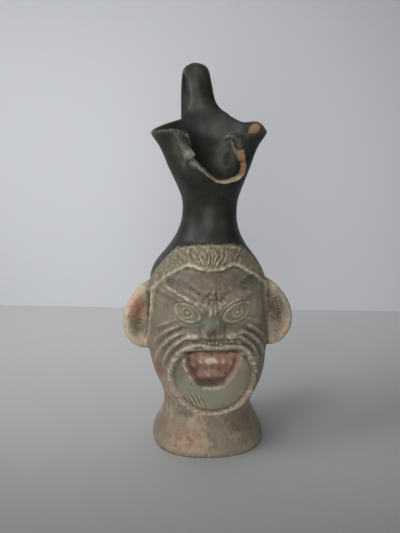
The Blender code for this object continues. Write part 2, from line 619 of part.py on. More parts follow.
def neck_point(degrees, height, inwards=0.0):
    """A point on the neck's outside, or that far inside it. Height is in metres from the floor."""
    angle = np.array([math.radians(degrees)])
    share = np.clip((height - HEAD_HEIGHT) / lip_height(angle), 0, 1)
    return ring_points(outside_of_neck(share, angle) - inwards, height, angle)[0]


def make_roll(stations):
    """What is left of the curled lip beside a pinch: a round roll carried along its stations."""
    place = np.arange(len(stations))
    along = np.linspace(0, len(stations) - 1, ROLL_ROWS)
    degrees, share, reach, thick = (
        smooth_through(np.stack([place, column], axis=1), along) for column in np.array(stations).T
    )
    height = HEAD_HEIGHT + NECK_HEIGHT - share * BREAK_DEPTH
    middle = ring_points(reach * PINCH_RADIUS, height, np.radians(degrees))
    forward = np.gradient(middle, axis=0)
    forward /= np.linalg.norm(forward, axis=1)[:, None]
    second = np.cross(forward, middle * (1, 1, 0))
    second /= np.linalg.norm(second, axis=1)[:, None]
    first = np.cross(second, forward)
    turn = np.arange(ROLL_COLUMNS)[None, :, None] / ROLL_COLUMNS * 2 * math.pi
    half = thick[:, None, None] * PINCH_RADIUS / 2
    rings = middle[:, None] + half * (np.cos(turn) * first[:, None] + np.sin(turn) * second[:, None])
    return closed_mesh("roll", list(rings), middle[0], middle[-1])


def make_break():
    """Everything in front of the broken edge, carried out from the axis. The edge is moved along its own
    normal, one way at the wall's inside and the other at its outside, so that the break shows."""
    top = HEAD_HEIGHT + NECK_HEIGHT + LIP_BACK_RISE + HANDLE_RISE
    place = np.arange(len(BREAK_EDGE))
    along = np.linspace(0, len(BREAK_EDGE) - 1, 60)
    degrees, share, opens = (
        smooth_through(np.stack([place, column], axis=1), along) for column in np.array(BREAK_EDGE).T
    )
    down = share * BREAK_DEPTH
    outside = outside_of_neck(1 - down / NECK_HEIGHT, np.radians(degrees))
    around = outside.mean()
    across = np.radians(degrees) * around
    step_across, step_down = np.gradient(across), np.gradient(down)
    length = np.hypot(step_across, step_down)
    far = BREAK_REACH + 0 * outside
    rings = []
    for reach, way in ((0.3 * outside, -1), (outside - NECK_WALL, -1), (outside, 1), (far, 1)):
        move = way * opens * NECK_WALL
        turn = (across - move * step_down / length) / around
        height = HEAD_HEIGHT + NECK_HEIGHT - down - move * step_across / length
        ring = np.stack([reach * np.sin(turn), -reach * np.cos(turn), height], axis=-1)
        rings.append(np.concatenate([[(*ring[0, :2], top)], ring, [(*ring[-1, :2], top)]]))
    return closed_mesh("break", rings, rings[0].mean(axis=0), rings[-1].mean(axis=0))


def make_chip():
    """A bite out of the inner half of the lip's right lobe: an egg that leans with the wall it is cut from."""
    turn = np.arange(CHIP_COLUMNS) / CHIP_COLUMNS * 2 * math.pi
    across, along, tall = CHIP_SIZE
    middle = HEAD_HEIGHT + lip_height(np.radians([CHIP_ANGLE]))[0] - CHIP_DROP
    rings = []
    for up in np.linspace(-1.4, 1.4, CHIP_ROWS):
        height = middle + tall * math.sin(up)
        x, y, _ = neck_point(CHIP_ANGLE, height, CHIP_INWARDS)
        ring_x = x + across * math.cos(up) * np.cos(turn)
        ring_y = y + along * math.cos(up) * np.sin(turn)
        rings.append(np.stack([ring_x, ring_y, height + 0 * turn], axis=-1))
    return closed_mesh("chip", rings, rings[0].mean(axis=0), rings[-1].mean(axis=0))


def apply_modifiers(shape):
    """Replace the mesh by what its modifiers make of it."""
    graph = bpy.context.evaluated_depsgraph_get()
    result = bpy.data.meshes.new_from_object(shape.evaluated_get(graph))
    shape.modifiers.clear()
    shape.data = result


def combine(shape, tools, operation):
    """Join the tools to the shape, or cut them from it, and remove them."""
    for tool in tools:
        step = shape.modifiers.new(tool.name, "BOOLEAN")
        step.operation = operation
        step.object = tool
    apply_modifiers(shape)
    for tool in tools:
        bpy.data.objects.remove(tool)


def cut_level(shape):
    """Cut the spare clay off at the floor and close the cut, so that the jug stands on a true plane."""
    mesh = bmesh.new()
    mesh.from_mesh(shape.data)
    parts = mesh.verts[:] + mesh.edges[:] + mesh.faces[:]
    cut = bmesh.ops.bisect_plane(mesh, geom=parts, dist=1e-7, plane_no=(0, 0, 1), clear_inner=True)
    rim = [part for part in cut["geom_cut"] if isinstance(part, bmesh.types.BMEdge)]
    bmesh.ops.contextual_create(mesh, geom=rim)
    bmesh.ops.dissolve_degenerate(mesh, dist=1e-6, edges=mesh.edges[:])
    bmesh.ops.triangulate(mesh, faces=mesh.faces[:])
    mesh.to_mesh(shape.data)
    mesh.free()


def drop_folds(shape):
    """Remove triangles that lie back to back on the same corners, left where two surfaces nearly touch."""
    mesh = bmesh.new()
    mesh.from_mesh(shape.data)
    bmesh.ops.triangulate(mesh, faces=mesh.faces[:])
    lying = {}
    for face in mesh.faces:
        lying.setdefault(frozenset(face.verts), []).append(face)
    folded = [face for faces in lying.values() if len(faces) > 1 for face in faces]
    bmesh.ops.delete(mesh, geom=folded, context="FACES")
    mesh.to_mesh(shape.data)
    mesh.free()


def clay_material():
    material = bpy.data.materials.new("worn clay and black glaze")
    material.use_nodes = True
    surface = material.node_tree.nodes["Principled BSDF"]
    surface.inputs["Base Color"].default_value = (0.12, 0.10, 0.07, 1)
    surface.inputs["Roughness"].default_value = 0.55
    surface.inputs["Metallic"].default_value = 0.0
    return material


def make_oinochoe():
    body = make_body()
    combine(body, [make_handle(), make_ear(1), make_ear(-1)], "UNION")
    thin = body.modifiers.new("thin", "DECIMATE")
    thin.ratio = KEPT_TRIANGLES / sum(len(face.vertices) - 2 for face in body.data.polygons)
    thin.use_collapse_triangulate = True
    apply_modifiers(body)
    cut_level(body)
    combine(body, [make_break(), make_chip()], "DIFFERENCE")
    combine(body, [make_roll(LEFT_ROLL), make_roll(RIGHT_ROLL)], "UNION")
    drop_folds(body)
    body.data.materials.clear()
    body.data.materials.append(clay_material())
    body.data.shade_smooth()
    body.data.set_sharp_from_angle(angle=math.radians(50))


for old in list(bpy.data.objects):
    bpy.data.objects.remove(old)
make_oinochoe()
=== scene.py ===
from math import cos, pi, radians, sin, sqrt

import bmesh
import bpy
import numpy as np
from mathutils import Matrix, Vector


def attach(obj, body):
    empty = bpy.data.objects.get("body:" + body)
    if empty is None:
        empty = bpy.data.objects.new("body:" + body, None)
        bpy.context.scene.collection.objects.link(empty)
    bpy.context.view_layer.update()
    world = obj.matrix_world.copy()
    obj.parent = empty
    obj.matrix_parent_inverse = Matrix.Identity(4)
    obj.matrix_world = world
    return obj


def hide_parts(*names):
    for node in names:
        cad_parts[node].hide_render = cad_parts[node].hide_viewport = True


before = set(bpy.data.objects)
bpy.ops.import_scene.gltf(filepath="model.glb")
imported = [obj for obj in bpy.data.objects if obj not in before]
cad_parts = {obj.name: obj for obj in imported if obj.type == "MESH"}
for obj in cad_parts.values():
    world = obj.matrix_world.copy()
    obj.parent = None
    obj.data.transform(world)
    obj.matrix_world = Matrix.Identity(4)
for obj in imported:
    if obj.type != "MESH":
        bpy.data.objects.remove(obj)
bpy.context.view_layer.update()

# Camera
# The photograph looks down at the jug by 15 degrees, from a little to its left, with a short telephoto lens.
LENS_MM = 49.5
SENSOR_MM = 36.0
CAMERA_PLACE = (-0.0357, -0.4084, 0.216)
CAMERA_TURN = (radians(75), 0, -0.0766)


def placed(name, data):
    """A new object with this data, in the scene."""
    made = bpy.data.objects.new(name, data)
    bpy.context.collection.objects.link(made)
    return made


camera = placed("camera", bpy.data.cameras.new("camera"))
camera.data.sensor_width = SENSOR_MM
camera.data.lens = LENS_MM
camera.location = CAMERA_PLACE
camera.rotation_euler = CAMERA_TURN
bpy.context.scene.camera = camera


# Head and foot
# The body of the jug: a grotesque mask's head pressed in a mould, whose throat spreads into the foot.
# Its relief is soft from a worn mould, with hair, lids and beard sharpened by a tool before firing.
MM = 0.001
HEAD_TALL = 125.0
HEAD_SIDE = 34.0
HEAD_FRONT = 39.0
HEAD_BACK = 38.0
FOOT_SIDE = 33.2
FOOT_FRONT = 31.2
HEAD_WALL = 4.5
# The neck's radius at its foot, and where the head turns round and narrows to it
SHOULDER = 18.6
ROUND_FROM = 104.0
NECK_FROM = 112.0

# Outlines as (height, share of the half width, front or back)
THROAT_BESIDE = (
    (0, 0.98), (2.5, 1), (8, 0.96), (14, 0.862), (20, 0.795), (26, 0.783), (34, 0.825), (45, 0.945),
    (60, 1.022),
)
THROAT_BEFORE = (
    (0, 0.98), (2.5, 1), (8, 0.96), (14, 0.88), (20, 0.808), (26, 0.788), (34, 0.83), (45, 0.93),
    (60, 1.03),
)
HEAD_BESIDE = (
    (25, 0.83), (30, 0.885), (40, 0.95), (50, 0.988), (60, 1), (70, 0.99), (80, 0.978), (90, 0.982),
    (98, 0.985), (104, 0.95), (110, 0.85), (115, 0.741), (120, 0.635), (125, 0.547),
)
HEAD_BEFORE = (
    (25, 0.93), (30, 0.975), (40, 1), (50, 1.005), (60, 0.99), (70, 0.95), (80, 0.905), (90, 0.885),
    (98, 0.872), (104, 0.836), (110, 0.775), (115, 0.692), (120, 0.59), (125, 0.477),
)
HEAD_BEHIND = (
    (0, 0.815), (2.5, 0.83), (8, 0.81), (14, 0.758), (20, 0.727), (26, 0.747), (34, 0.815), (45, 0.885),
    (60, 0.947), (70, 0.98), (80, 1), (90, 1), (98, 0.974), (104, 0.908), (110, 0.803), (115, 0.7),
    (120, 0.595), (125, 0.49),
)


def through(points, at):
    """The curve through (position, value) pairs that leaves each with the slope between its neighbours."""
    where, value = np.array(points, float).T
    at = np.clip(at, where[0], where[-1])
    slope = np.gradient(value, where)
    left = np.clip(np.searchsorted(where, at, side="right") - 1, 0, len(where) - 2)
    step = where[left + 1] - where[left]
    t = (at - where[left]) / step
    return (
        (2 * t**3 - 3 * t**2 + 1) * value[left]
        + (t**3 - 2 * t**2 + t) * step * slope[left]
        + (3 * t**2 - 2 * t**3) * value[left + 1]
        + (t**3 - t**2) * step * slope[left + 1]
    )


def ease(low, high, at):
    """0 below low, 1 above high, and the smooth S 3t^2 - 2t^3 between them."""
    t = np.clip((at - low) / (high - low), 0, 1)
    return t * t * (3 - 2 * t)


def from_front(angle):
    """An angle in degrees from the front, positive towards +X."""
    return (np.degrees(angle) + 180) % 360 - 180


def plain_head(beside, before, side, front, height, angle):
    """Radius of the uncarved head or throat: at each height a superellipse of power 2.3 with half widths
    read from the outlines, which turns into the round neck at the top."""
    depth = np.where(
        np.cos(angle) > 0, through(before, height) * front, through(HEAD_BEHIND, height) * HEAD_BACK
    )
    across = np.abs(np.sin(angle)) / (through(beside, height) * side)
    along = np.abs(np.cos(angle)) / depth
    power = 2.3 - 0.3 * ease(ROUND_FROM, HEAD_TALL, height)
    radius = (across**power + along**power) ** (-1 / power)
    return radius + (SHOULDER - HEAD_BESIDE[-1][1] * HEAD_SIDE) * ease(NECK_FROM, HEAD_TALL, height)


def plain_throat(height, angle):
    """Radius of the uncarved throat and foot."""
    return plain_head(THROAT_BESIDE, THROAT_BEFORE, FOOT_SIDE, FOOT_FRONT, height, angle)


def plain_face(height, angle):
    """Radius of the uncarved head."""
    return plain_head(HEAD_BESIDE, HEAD_BEFORE, HEAD_SIDE, HEAD_FRONT, height, angle)


# The relief, in millimetres across (x), up (z) and outwards
HAIRLINE = (
    (0, 111.8), (6, 112.4), (11.5, 113.8), (16, 112.4), (20, 109.6), (24.5, 106.5), (29, 101), (34, 94),
)
HAIR_TOP = (
    (0, 123.6), (10, 122.8), (15, 121.4), (19, 119.2), (25, 112.4), (29, 106.4), (32, 101), (34.5, 95),
)
LOCK_WIDTH = 2.3
BROW = ((3.2, 92), (9, 94.6), (17, 98.4), (25, 100.6))
FURROW = ((4, 97), (10, 99), (17, 102.4), (23, 105.5))
FROWN = ((1.6, 99.5), (2, 94), (3, 89.5))
WRINKLES = (
    ((-26.5, 101.5), (-19, 98.4), (-11.5, 94)),
    ((-23.5, 104.5), (-16.5, 101), (-9.5, 97)),
    ((-17.5, 106), (-12.5, 103.2), (-7.5, 100)),
)
EYE_MIDDLE = (13.8, 89)
EYE_SLANT = radians(22)
EYE_SIZE = (7.5, 4.7)
EYE_UNLIKE = 0.07
PUPIL_RING = 2.8
DISH = (0.4, 52.6, 21.4, 18.6)
MOUTH_TOP = 67.6
MOUTH_DEEP = 20.4
MOUTH_HALF = 16.4
MOUTH_SKEW = 0.06
MOUTH_TAPER = 0.25
MOUTH_SUNK = 2.6
UPPER_LIP = (
    (-19, 66.5), (-14.5, 69.9), (-7, 72), (-3, 70.6), (4, 70.7), (11, 70.4), (16, 69.6), (20, 66),
)
LIP_GAP = ((-15, 66.4), (-7, 68), (0, 67.6), (8, 67.6), (14.5, 66.4))
# Each fold as (radius, height, width)
CHEEK_FOLDS = ((1.26, 1.1, 0.055), (1.44, 1.25, 0.06), (1.63, 1, 0.055), (1.82, 0.45, 0.04))


def smooth_line(points, steps):
    """Each column of these points as a smooth curve, read at even steps along them."""
    order = np.arange(len(points))
    along = np.linspace(0, len(points) - 1, steps)
    return [through(np.stack([order, column], axis=1), along) for column in np.array(points).T]


def near_line(x, z, points, width):
    """1 on the smooth line through these points, falling to 0 at that distance from it."""
    line_x, line_z = smooth_line(points, 24)
    nearest = np.full(x.shape, np.inf)
    for ax, az, bx, bz in zip(line_x[:-1], line_z[:-1], line_x[1:], line_z[1:]):
        dx, dz = bx - ax, bz - az
        t = np.clip(((x - ax) * dx + (z - az) * dz) / (dx * dx + dz * dz), 0, 1)
        nearest = np.minimum(nearest, np.hypot(x - ax - t * dx, z - az - t * dz))
    return 1 - ease(0, width, nearest)


def mound(x, z, middle, size, slant=0):
    """exp(-distance^2) about a middle, with a half length and a half height, turned by a slant."""
    dx, dz = x - middle[0], z - middle[1]
    along = (dx * cos(slant) + dz * sin(slant)) / size[0]
    over = (dz * cos(slant) - dx * sin(slant)) / size[1]
    return np.exp(-(along**2) - over**2)


def rise(at, middle, width):
    """A ridge across one measure: exp(-((at - middle) / width)^2)."""
    return np.exp(-(((at - middle) / width) ** 2))


def ripple(x, z, wavelength, seed):
    """Uneven waves between about -1 and 1: five sines of one wavelength in directions set by the seed."""
    draw = np.random.default_rng(seed)
    turns, phases, stretches = draw.uniform(0, pi, 5), draw.uniform(0, 6.3, 5), draw.uniform(0.7, 1.5, 5)
    total = 0
    for turn, phase, stretch in zip(turns, phases, stretches):
        along = x * cos(turn) + z * sin(turn)
        total = total + np.sin(2 * pi * along / wavelength * stretch + phase)
    return total / 3


def hair_relief(x, z):
    """A raised band over the hairline's smooth ridge, with short locks scratched in its middle and lumps
    beside them."""
    beside = np.abs(x)
    low, high = through(HAIRLINE, beside), through(HAIR_TOP, beside)
    band = ease(low - 0.6, low + 0.8, z) * (1 - ease(high - 0.6, high + 0.8, z))
    across = (z - low) / (high - low)
    swing = np.where(x > -4, 0.42, -0.38) * (z - 117) + 0.9 * ripple(x, z, 8, 3)
    comb = np.cos(2 * pi * (x - swing) / LOCK_WIDTH)
    combed = ease(0.16, 0.3, across) * (1 - ease(0.6, 0.74, across)) * (1 - ease(13, 17, beside))
    locks = 0.5 * comb * combed * ease(-1, 0.3, ripple(x, z, 5, 4))
    lumps = (0.32 * ripple(x, z, 3.1, 8) + 0.18 * ripple(x, z, 1.5, 10)) * (1 - 0.7 * combed)
    ridge = rise(z, low, 0.9) * (1 + 0.3 * ripple(x, z, 4, 14)) + 0.35 * rise(z, high, 0.7)
    return (0.9 + locks + lumps) * band + ridge


def brow_relief(x, z):
    """Knitted brows falling to the root of the nose, furrows over them, and a full forehead."""
    beside = np.abs(x)
    forehead = 1.3 * mound(x, z, (0, 104.5), (17, 7.5)) - 0.9 * mound(x, z, (20.5, 103.2), (4.2, 3), -0.5)
    brow = 1.8 * near_line(beside, z, BROW, 6.4) - 0.45 * near_line(beside, z, FURROW, 3.4)
    brow = brow - 0.45 * near_line(beside, z, FROWN, 1.6)
    wrinkles = sum(near_line(x, z, line, 1.9) for line in WRINKLES)
    knot = 0.35 * ripple(x, z, 3.4, 5) * mound(x, z, (0.5, 97.5), (8, 4.5))
    return forehead + brow - 0.55 * wrinkles + knot


def eye_place(x, z):
    """How far a point lies along an eye's slant and across it, in half sizes, and its place in the almond,
    whose edge is at 1 and pointed at both corners."""
    dx, dz = np.abs(x) - EYE_MIDDLE[0], z - EYE_MIDDLE[1]
    half = EYE_SIZE[0] * (1 + EYE_UNLIKE * np.sign(x))
    along = (dx * cos(EYE_SLANT) + dz * sin(EYE_SLANT)) / half
    over = (dz * cos(EYE_SLANT) - dx * sin(EYE_SLANT)) / EYE_SIZE[1]
    return along, over, np.hypot(along, over / np.sqrt(np.clip(1 - 0.35 * along**2, 0.25, 1)))


def eye_relief(x, z):
    """Slanting almond eyes in shallow sockets: two soft raised lids, a ball, and a ring about the pupil."""
    along, over, edge = eye_place(x, z)
    pupil = np.hypot(np.abs(x) - EYE_MIDDLE[0], z - EYE_MIDDLE[1]) / PUPIL_RING
    socket = -1.6 * np.exp(-((along / 1.4) ** 2) - (over / 1.8) ** 2)
    ball = 1.3 * np.sqrt(np.clip(1 - (edge / 0.92) ** 2, 0, 1))
    lids = rise(edge, 1, 0.17) + 0.4 * rise(edge, 1.48, 0.17)
    ring = 0.4 * rise(pupil, 1, 0.2) - 0.3 * rise(pupil, 0.62, 0.18) + 0.4 * rise(pupil, 0, 0.28)
    return socket + ball + lids - 0.15 * rise(edge, 0.82, 0.08) + ring


def nose_relief(x, z):
    """A short nose, narrow between the eyes, with wide wings and a flat, battered tip."""
    beside = np.abs(x)
    down = np.clip((92 - z) / 14, 0, 1)
    half = 3.2 + 4.4 * down**1.6
    bridge = (0.9 + 3.6 * down**1.3) * (1 - ease(0.2, 1.4, beside / half)) * ease(73.6, 76.8, z)
    bridge = bridge * (1 - ease(89, 96, z))
    wing = 3.4 * mound(beside, z, (9.8, 76.8), (5.2, 3.4)) * ease(73, 75.6, z)
    nostril = -mound(beside, z, (4.8, 75), (2, 1.2))
    dent = 1.9 * mound(x, z, (-0.9, 78.2), (3.5, 3.4)) - 0.9 * mound(x, z, (-0.9, 78.8), (1.6, 1.7))
    rough = 0.3 * ripple(x, z, 2.4, 9) * mound(beside, z, (9.5, 75.2), (7.5, 2.6))
    return np.maximum(bridge, wing) + nostril + dent + rough


def cheek_relief(x, z):
    """The folds that the shout pushes up: arcs about the mouth, from the nose to the jaw."""
    dx, dz = (np.abs(x) - DISH[0]) / 21, (z - 55) / 19
    around = np.hypot(dx, dz)
    turn = np.degrees(np.arctan2(dz, dx))
    reach = ease(-12, 15, turn) * (1 - ease(52, 66, turn))
    folds = sum(high * rise(around, radius, wide) for radius, high, wide in CHEEK_FOLDS)
    return folds * reach + 1.2 * mound(np.abs(x), z, (22.5, 82), (6.5, 3.6), -0.35)


def inside_mouth(x, z):
    """Millimetres inside the mouth: a bowl of power 3 under a level top, that narrows and leans to -X."""
    level = np.clip((MOUTH_TOP - z) / MOUTH_DEEP, 0, None)
    half = MOUTH_HALF * (1 - MOUTH_TAPER * np.clip(level, 0, 1))
    wide = np.abs(x - DISH[0] + MOUTH_SKEW * (MOUTH_TOP - z)) / half
    bowl = (level**3 + wide**3) ** (1 / 3)
    return np.minimum((1 - bowl) * 15, MOUTH_TOP - z)


def from_dish(x, z):
    """1 on the edge of the oval dish about the mouth, 0 in its middle."""
    return np.hypot((x - DISH[0]) / DISH[2], (z - DISH[1]) / DISH[3])


def mouth_relief(x, z):
    """A shallow funnel inside the beard's tufted edge, an opening sunk further with the tongue swelling in
    it, and a drawn-up lip over a gap."""
    ring, inside = from_dish(x, z), inside_mouth(x, z)
    turn = np.arctan2(z - DISH[1], x - DISH[0])
    opening = ease(-0.8, 1.8, inside)
    tufts = 0.32 * np.cos(turn * 50 + 30 * (ring - 1.12) + 3 * ripple(x, z, 9, 2))
    tufts = (tufts + 0.3 * ripple(x, z, 1.9, 4)) * ease(-0.8, 0.4, ripple(x, z, 6, 15))
    beard = (1.45 + tufts) * rise(ring, 1.12, 0.09) * (1 - ease(66, 72, z))
    funnel = -2.2 * (1 - ease(0.25, 1, ring)) - 0.4 * rise(ring, 1.005, 0.045)
    brim = 0.15 * rise(inside, -1, 1)
    chin = 0.45 * mound(x, z, (-9.7, 40), (6, 2.7), -0.3) * np.cos(2 * pi * (x * 0.86 + z * 0.5) / 2)
    tongue = 2.1 * mound(x, z, (-1, 61.5), (12, 4.6)) + mound(x, z, (-3.5, 53.5), (7, 3.6))
    tongue = tongue + 0.25 * ripple(x, z, 6, 6)
    hairs = np.cos(2 * pi * x / 2.1 + 2 * ripple(x, z, 5, 16))
    moustache = 0.35 * hairs * mound(x, z, (0, 73.6), (15, 1.3))
    lip = 1.5 * near_line(x, z, UPPER_LIP, 1.8) * (1 + 0.3 * ripple(x, z, 3.3, 7)) + moustache
    gap = -1.5 * near_line(x, z, LIP_GAP, 1.6)
    return (beard + brim + chin) * (1 - opening) + funnel + (tongue - MOUTH_SUNK) * opening + lip + gap


# The ridge before each ear as (height, degrees from the front)
EAR_RIDGE = ((56, 85), (64, 84), (75, 79), (90, 69), (100, 60), (106, 52), (112, 46))


def carved_head(height, angle, over_jaw):
    """Radius of the outside: the throat (over_jaw 0) or the head (1) and its relief, with the slow
    unevenness of clay pressed by hand."""
    plain = plain_face(height, angle)
    x = plain * np.sin(angle)
    below_hair = 1 - ease(-2, 0.5, height - through(HAIRLINE, np.abs(x)))
    face = brow_relief(x, height) + eye_relief(x, height) + nose_relief(x, height)
    face = (face + cheek_relief(x, height) + mouth_relief(x, height)) * below_hair + hair_relief(x, height)
    ridge = ease(56, 63, height) * (1 - ease(100, 107, height)) * (1 + 0.3 * ripple(x, height, 5, 17))
    ridge = 1.5 * ridge * rise(np.abs(from_front(angle)), through(EAR_RIDGE, height), 3.4)
    relief = face * ease(0.02, 0.3, np.cos(angle)) + ridge
    uneven = 0.2 * ripple(x, height + 0.7 * plain * np.cos(angle), 19, 12) + 0.07 * ripple(x, height, 6.5, 18)
    uneven = uneven * ease(2, 9, height) * (1 - ease(112, 122, height))
    return plain_throat(height, angle) * (1 - over_jaw) + (plain + relief) * over_jaw + uneven


# Neck and lip
# Thrown on the wheel, so round, with a wall of 3 mm. The soft lip was pinched on both sides of a spout,
# which left two side lobes, and climbs at the back to meet the handle.
NECK_NARROW = 15.4
NECK_TALL = 58.5
LOBE = 31.0
LOBE_POINT = 1.6
LIP_BACK = 24.5
PINCH = 19.5
LIP_CLIMB = 8.5
NECK_LEAN = 1.3
NECK_WALL = 3.0
LIP_THICK = 3.2
# The lip's climb as (degrees from the front, share), and its plan as (degrees, radius)
LIP_RISE = (
    (0, 0), (47, -0.08), (80, 0), (92, 0.06), (104, 0.2), (120, 0.4), (140, 0.64), (160, 0.9), (180, 1),
)
LIP_PLAN = (
    (0, LOBE * 0.95), (24, LOBE * 0.86), (47, PINCH), (66, LOBE * 0.85), (86, LOBE), (122, LOBE * 0.93),
    (152, LIP_BACK * 1.05), (180, LIP_BACK),
)
# Places where the lip stands higher, as (degrees, width in degrees, millimetres)
LIP_LIFTS = ((-62, 18, 2.7), (104, 12, 2.4))
# The outline as (share of the neck's height, share of the way from its narrowest to the lobes)
NECK_OUTLINE = (
    (0, 0.205), (0.07, 0.105), (0.155, 0.026), (0.256, 0), (0.36, 0.026), (0.46, 0.141), (0.576, 0.314),
    (0.684, 0.474), (0.803, 0.615), (0.872, 0.718), (0.916, 0.808), (0.957, 0.91), (1, 1),
)


def lip_height(angle):
    """Height of the lip above the head: its climb, a little higher on the +X side, and two soft humps."""
    turned = from_front(angle)
    climb = through(LIP_RISE, np.abs(turned)) * (1 + 0.22 * np.sin(angle)) * LIP_CLIMB
    return NECK_TALL + climb + sum(high * rise(turned, middle, wide) for middle, wide, high in LIP_LIFTS)


def neck_radius(share, angle):
    """Radius of the outside at a share of the way up: the outline, which takes the lip's plan near the top."""
    outline = NECK_NARROW + (LOBE - NECK_NARROW) * through(NECK_OUTLINE, share)
    start = NECK_NARROW + (LOBE - NECK_NARROW) * NECK_OUTLINE[0][1]
    outline = outline + (SHOULDER - start) * (1 - ease(0, 0.2, share))
    turned = from_front(angle)
    plan = (through(LIP_PLAN, np.abs(turned)) + LOBE_POINT * rise(turned, 86, 13)) / LOBE
    return outline * (1 + ease(0.5, 0.97, share) * (plan - 1))


def lean(height):
    """How far the jug's axis has moved to +X: a sine squared, most half way up the neck."""
    share = np.clip((height - HEAD_TALL * 0.9) / (NECK_TALL + HEAD_TALL * 0.1), 0, 1)
    return NECK_LEAN * np.sin(pi * share) ** 2


def ring_points(radius, height, angle):
    """Points at a radius from the leaning axis, as (x, y, z)."""
    height = np.broadcast_to(height, radius.shape)
    return np.stack([lean(height) + radius * np.sin(angle), -radius * np.cos(angle), height], axis=-1)


def hollow_head(height, angle):
    """Radius of the hollow: a wall's thickness inside the plain head, with more clay behind the mouth."""
    widening = ease(34, 60, height)
    plain = plain_throat(height, angle) * (1 - widening) + plain_face(height, angle) * widening
    backing = MOUTH_BACKING * rise(height, 58, 14) * np.clip(np.cos(angle), 0, 1) ** 2
    shoulder = ease(100, HEAD_TALL, height)
    return plain - HEAD_WALL * (1 - shoulder) - NECK_WALL * shoulder - backing


# The jaw's height beside and in front, and the edge over which the throat turns into the head
JAW_BESIDE = 59.0
JAW_BEFORE = 30.0
JAW_UNDER = 1.2
JAW_OVER = 1.4
JAW_EDGE = 2.6
# How finely the body is worked out: about 0.5 mm in the face, where the columns crowd
COLUMNS = 260
CROWDING = 0.55
THROAT_ROWS = 24
JAW_ROWS = 8
HEAD_ROWS = 184
NECK_ROWS = 50
LIP_ROWS = 8
INNER_NECK_ROWS = 28
INNER_HEAD_ROWS = 20
CORNER_ROWS = 6
SPARE_FOOT = 3.0
FLOOR_THICK = 7.0
FLOOR_CORNER = 8.0
MOUTH_BACKING = 4.0


def body_rings(angle):
    """Rings of points up the outside, over the rounded lip and down the inside to the floor."""
    edge = carved_head(0 * angle, angle, 0)
    path = [(edge * share, -SPARE_FOOT) for share in (0.5, 1)]
    jaw = JAW_BESIDE - (JAW_BESIDE - JAW_BEFORE) * np.clip(np.cos(angle), 0, 1) ** 1.4
    under, over = jaw - JAW_UNDER, jaw + JAW_OVER
    levels = [(under * t, 0) for t in np.linspace(0, 1, THROAT_ROWS)]
    levels += [(under + JAW_EDGE * t, ease(0, 1, t)) for t in np.linspace(0, 1, JAW_ROWS + 2)[1:]]
    levels += [(over * (1 - t) + HEAD_TALL * t, 1) for t in np.linspace(0, 1, HEAD_ROWS)[1:-1]]
    path += [(carved_head(height, angle, head), height) for height, head in levels]
    top = lip_height(angle) - LIP_THICK / 2
    path += [(neck_radius(t, angle), HEAD_TALL + t * top) for t in np.linspace(0, 1, NECK_ROWS)]
    middle = neck_radius(np.ones_like(angle), angle) - LIP_THICK / 2
    for turn in np.linspace(0, pi, LIP_ROWS + 2)[1:-1]:
        path.append((middle + LIP_THICK / 2 * cos(turn), HEAD_TALL + top + LIP_THICK / 2 * sin(turn)))
    for t in np.linspace(1, 0, INNER_NECK_ROWS)[:-1]:
        wall = NECK_WALL + (LIP_THICK - NECK_WALL) * ease(0.7, 1, t)
        path.append((neck_radius(t, angle) - wall, HEAD_TALL + t * top))
    low = FLOOR_THICK + FLOOR_CORNER
    for t in np.linspace(1, 0, INNER_HEAD_ROWS):
        height = low + (HEAD_TALL - low) * t + 0 * angle
        path.append((hollow_head(height, angle), height))
    foot = hollow_head(low + 0 * angle, angle)
    for turn in np.linspace(0, pi / 2, CORNER_ROWS)[1:]:
        height = FLOOR_THICK + FLOOR_CORNER * (1 - sin(turn))
        path.append((foot - FLOOR_CORNER * (1 - cos(turn)), height))
    rings = [ring_points(radius, height, angle) for radius, height in path]
    return [*rings, rings[-1] * (0.5, 0.5, 1)]


def closed_piece(name, rings, ends=None):
    """A closed mesh in metres from rings of points in millimetres, with a point at each end, in the middle
    of the ring if not given. Seen from outside, the rings turn left as they go up."""
    count = len(rings[0])
    first, last = ends or (rings[0].mean(axis=0), rings[-1].mean(axis=0))
    points = np.concatenate([[first], *rings, [last]]) * MM
    here = np.arange(count)
    after = np.roll(here, -1)
    row = 1 + count * np.arange(len(rings) - 1)[:, None]
    sides = np.stack([row + here, row + after, row + count + after, row + count + here], axis=-1).reshape(-1, 4)
    top = 1 + (len(rings) - 1) * count
    bottom_cap = np.stack([0 * here, 1 + after, 1 + here], axis=-1)
    top_cap = np.stack([top + here, top + after, 0 * here + len(points) - 1], axis=-1)
    mesh = bpy.data.meshes.new(name)
    mesh.from_pydata(points.tolist(), [], bottom_cap.tolist() + sides.tolist() + top_cap.tolist())
    return placed(name, mesh)


turn = np.arange(COLUMNS) / COLUMNS * 2 * pi
rings = body_rings(turn - CROWDING * np.sin(turn))
jug = closed_piece("oinochoe_fired", rings, ((0, 0, -SPARE_FOOT), (0, 0, FLOOR_THICK)))


# Handle
# A strap of clay 15 mm wide, crowned outside with a low ridge, laid on the lip's back, carried up and over
# and pressed on to the nape while soft. Both ends are spread wide and smeared into the wall.
STRAP_WIDE = 14.8
STRAP_THICK = 6.4
STRAP_CROWN = 1.4
HANDLE_RISE = 28.0
HANDLE_REACH = 50.0
HANDLE_OFFSET = 2.0
HANDLE_SKEW = 2.8
NAPE_TALL = 110.6
STRAP_ROWS = 100
STRAP_COLUMNS = 40
# Root in the neck's wall as (share of the neck's height, width, thickness, bow, millimetres aside)
HANDLE_ROOT = ((0.74, 1.5, 0.15, 1.05, 1), (0.85, 1.9, 0.3, 0.84, 3), (0.955, 2.15, 0.42, 0.71, 5))
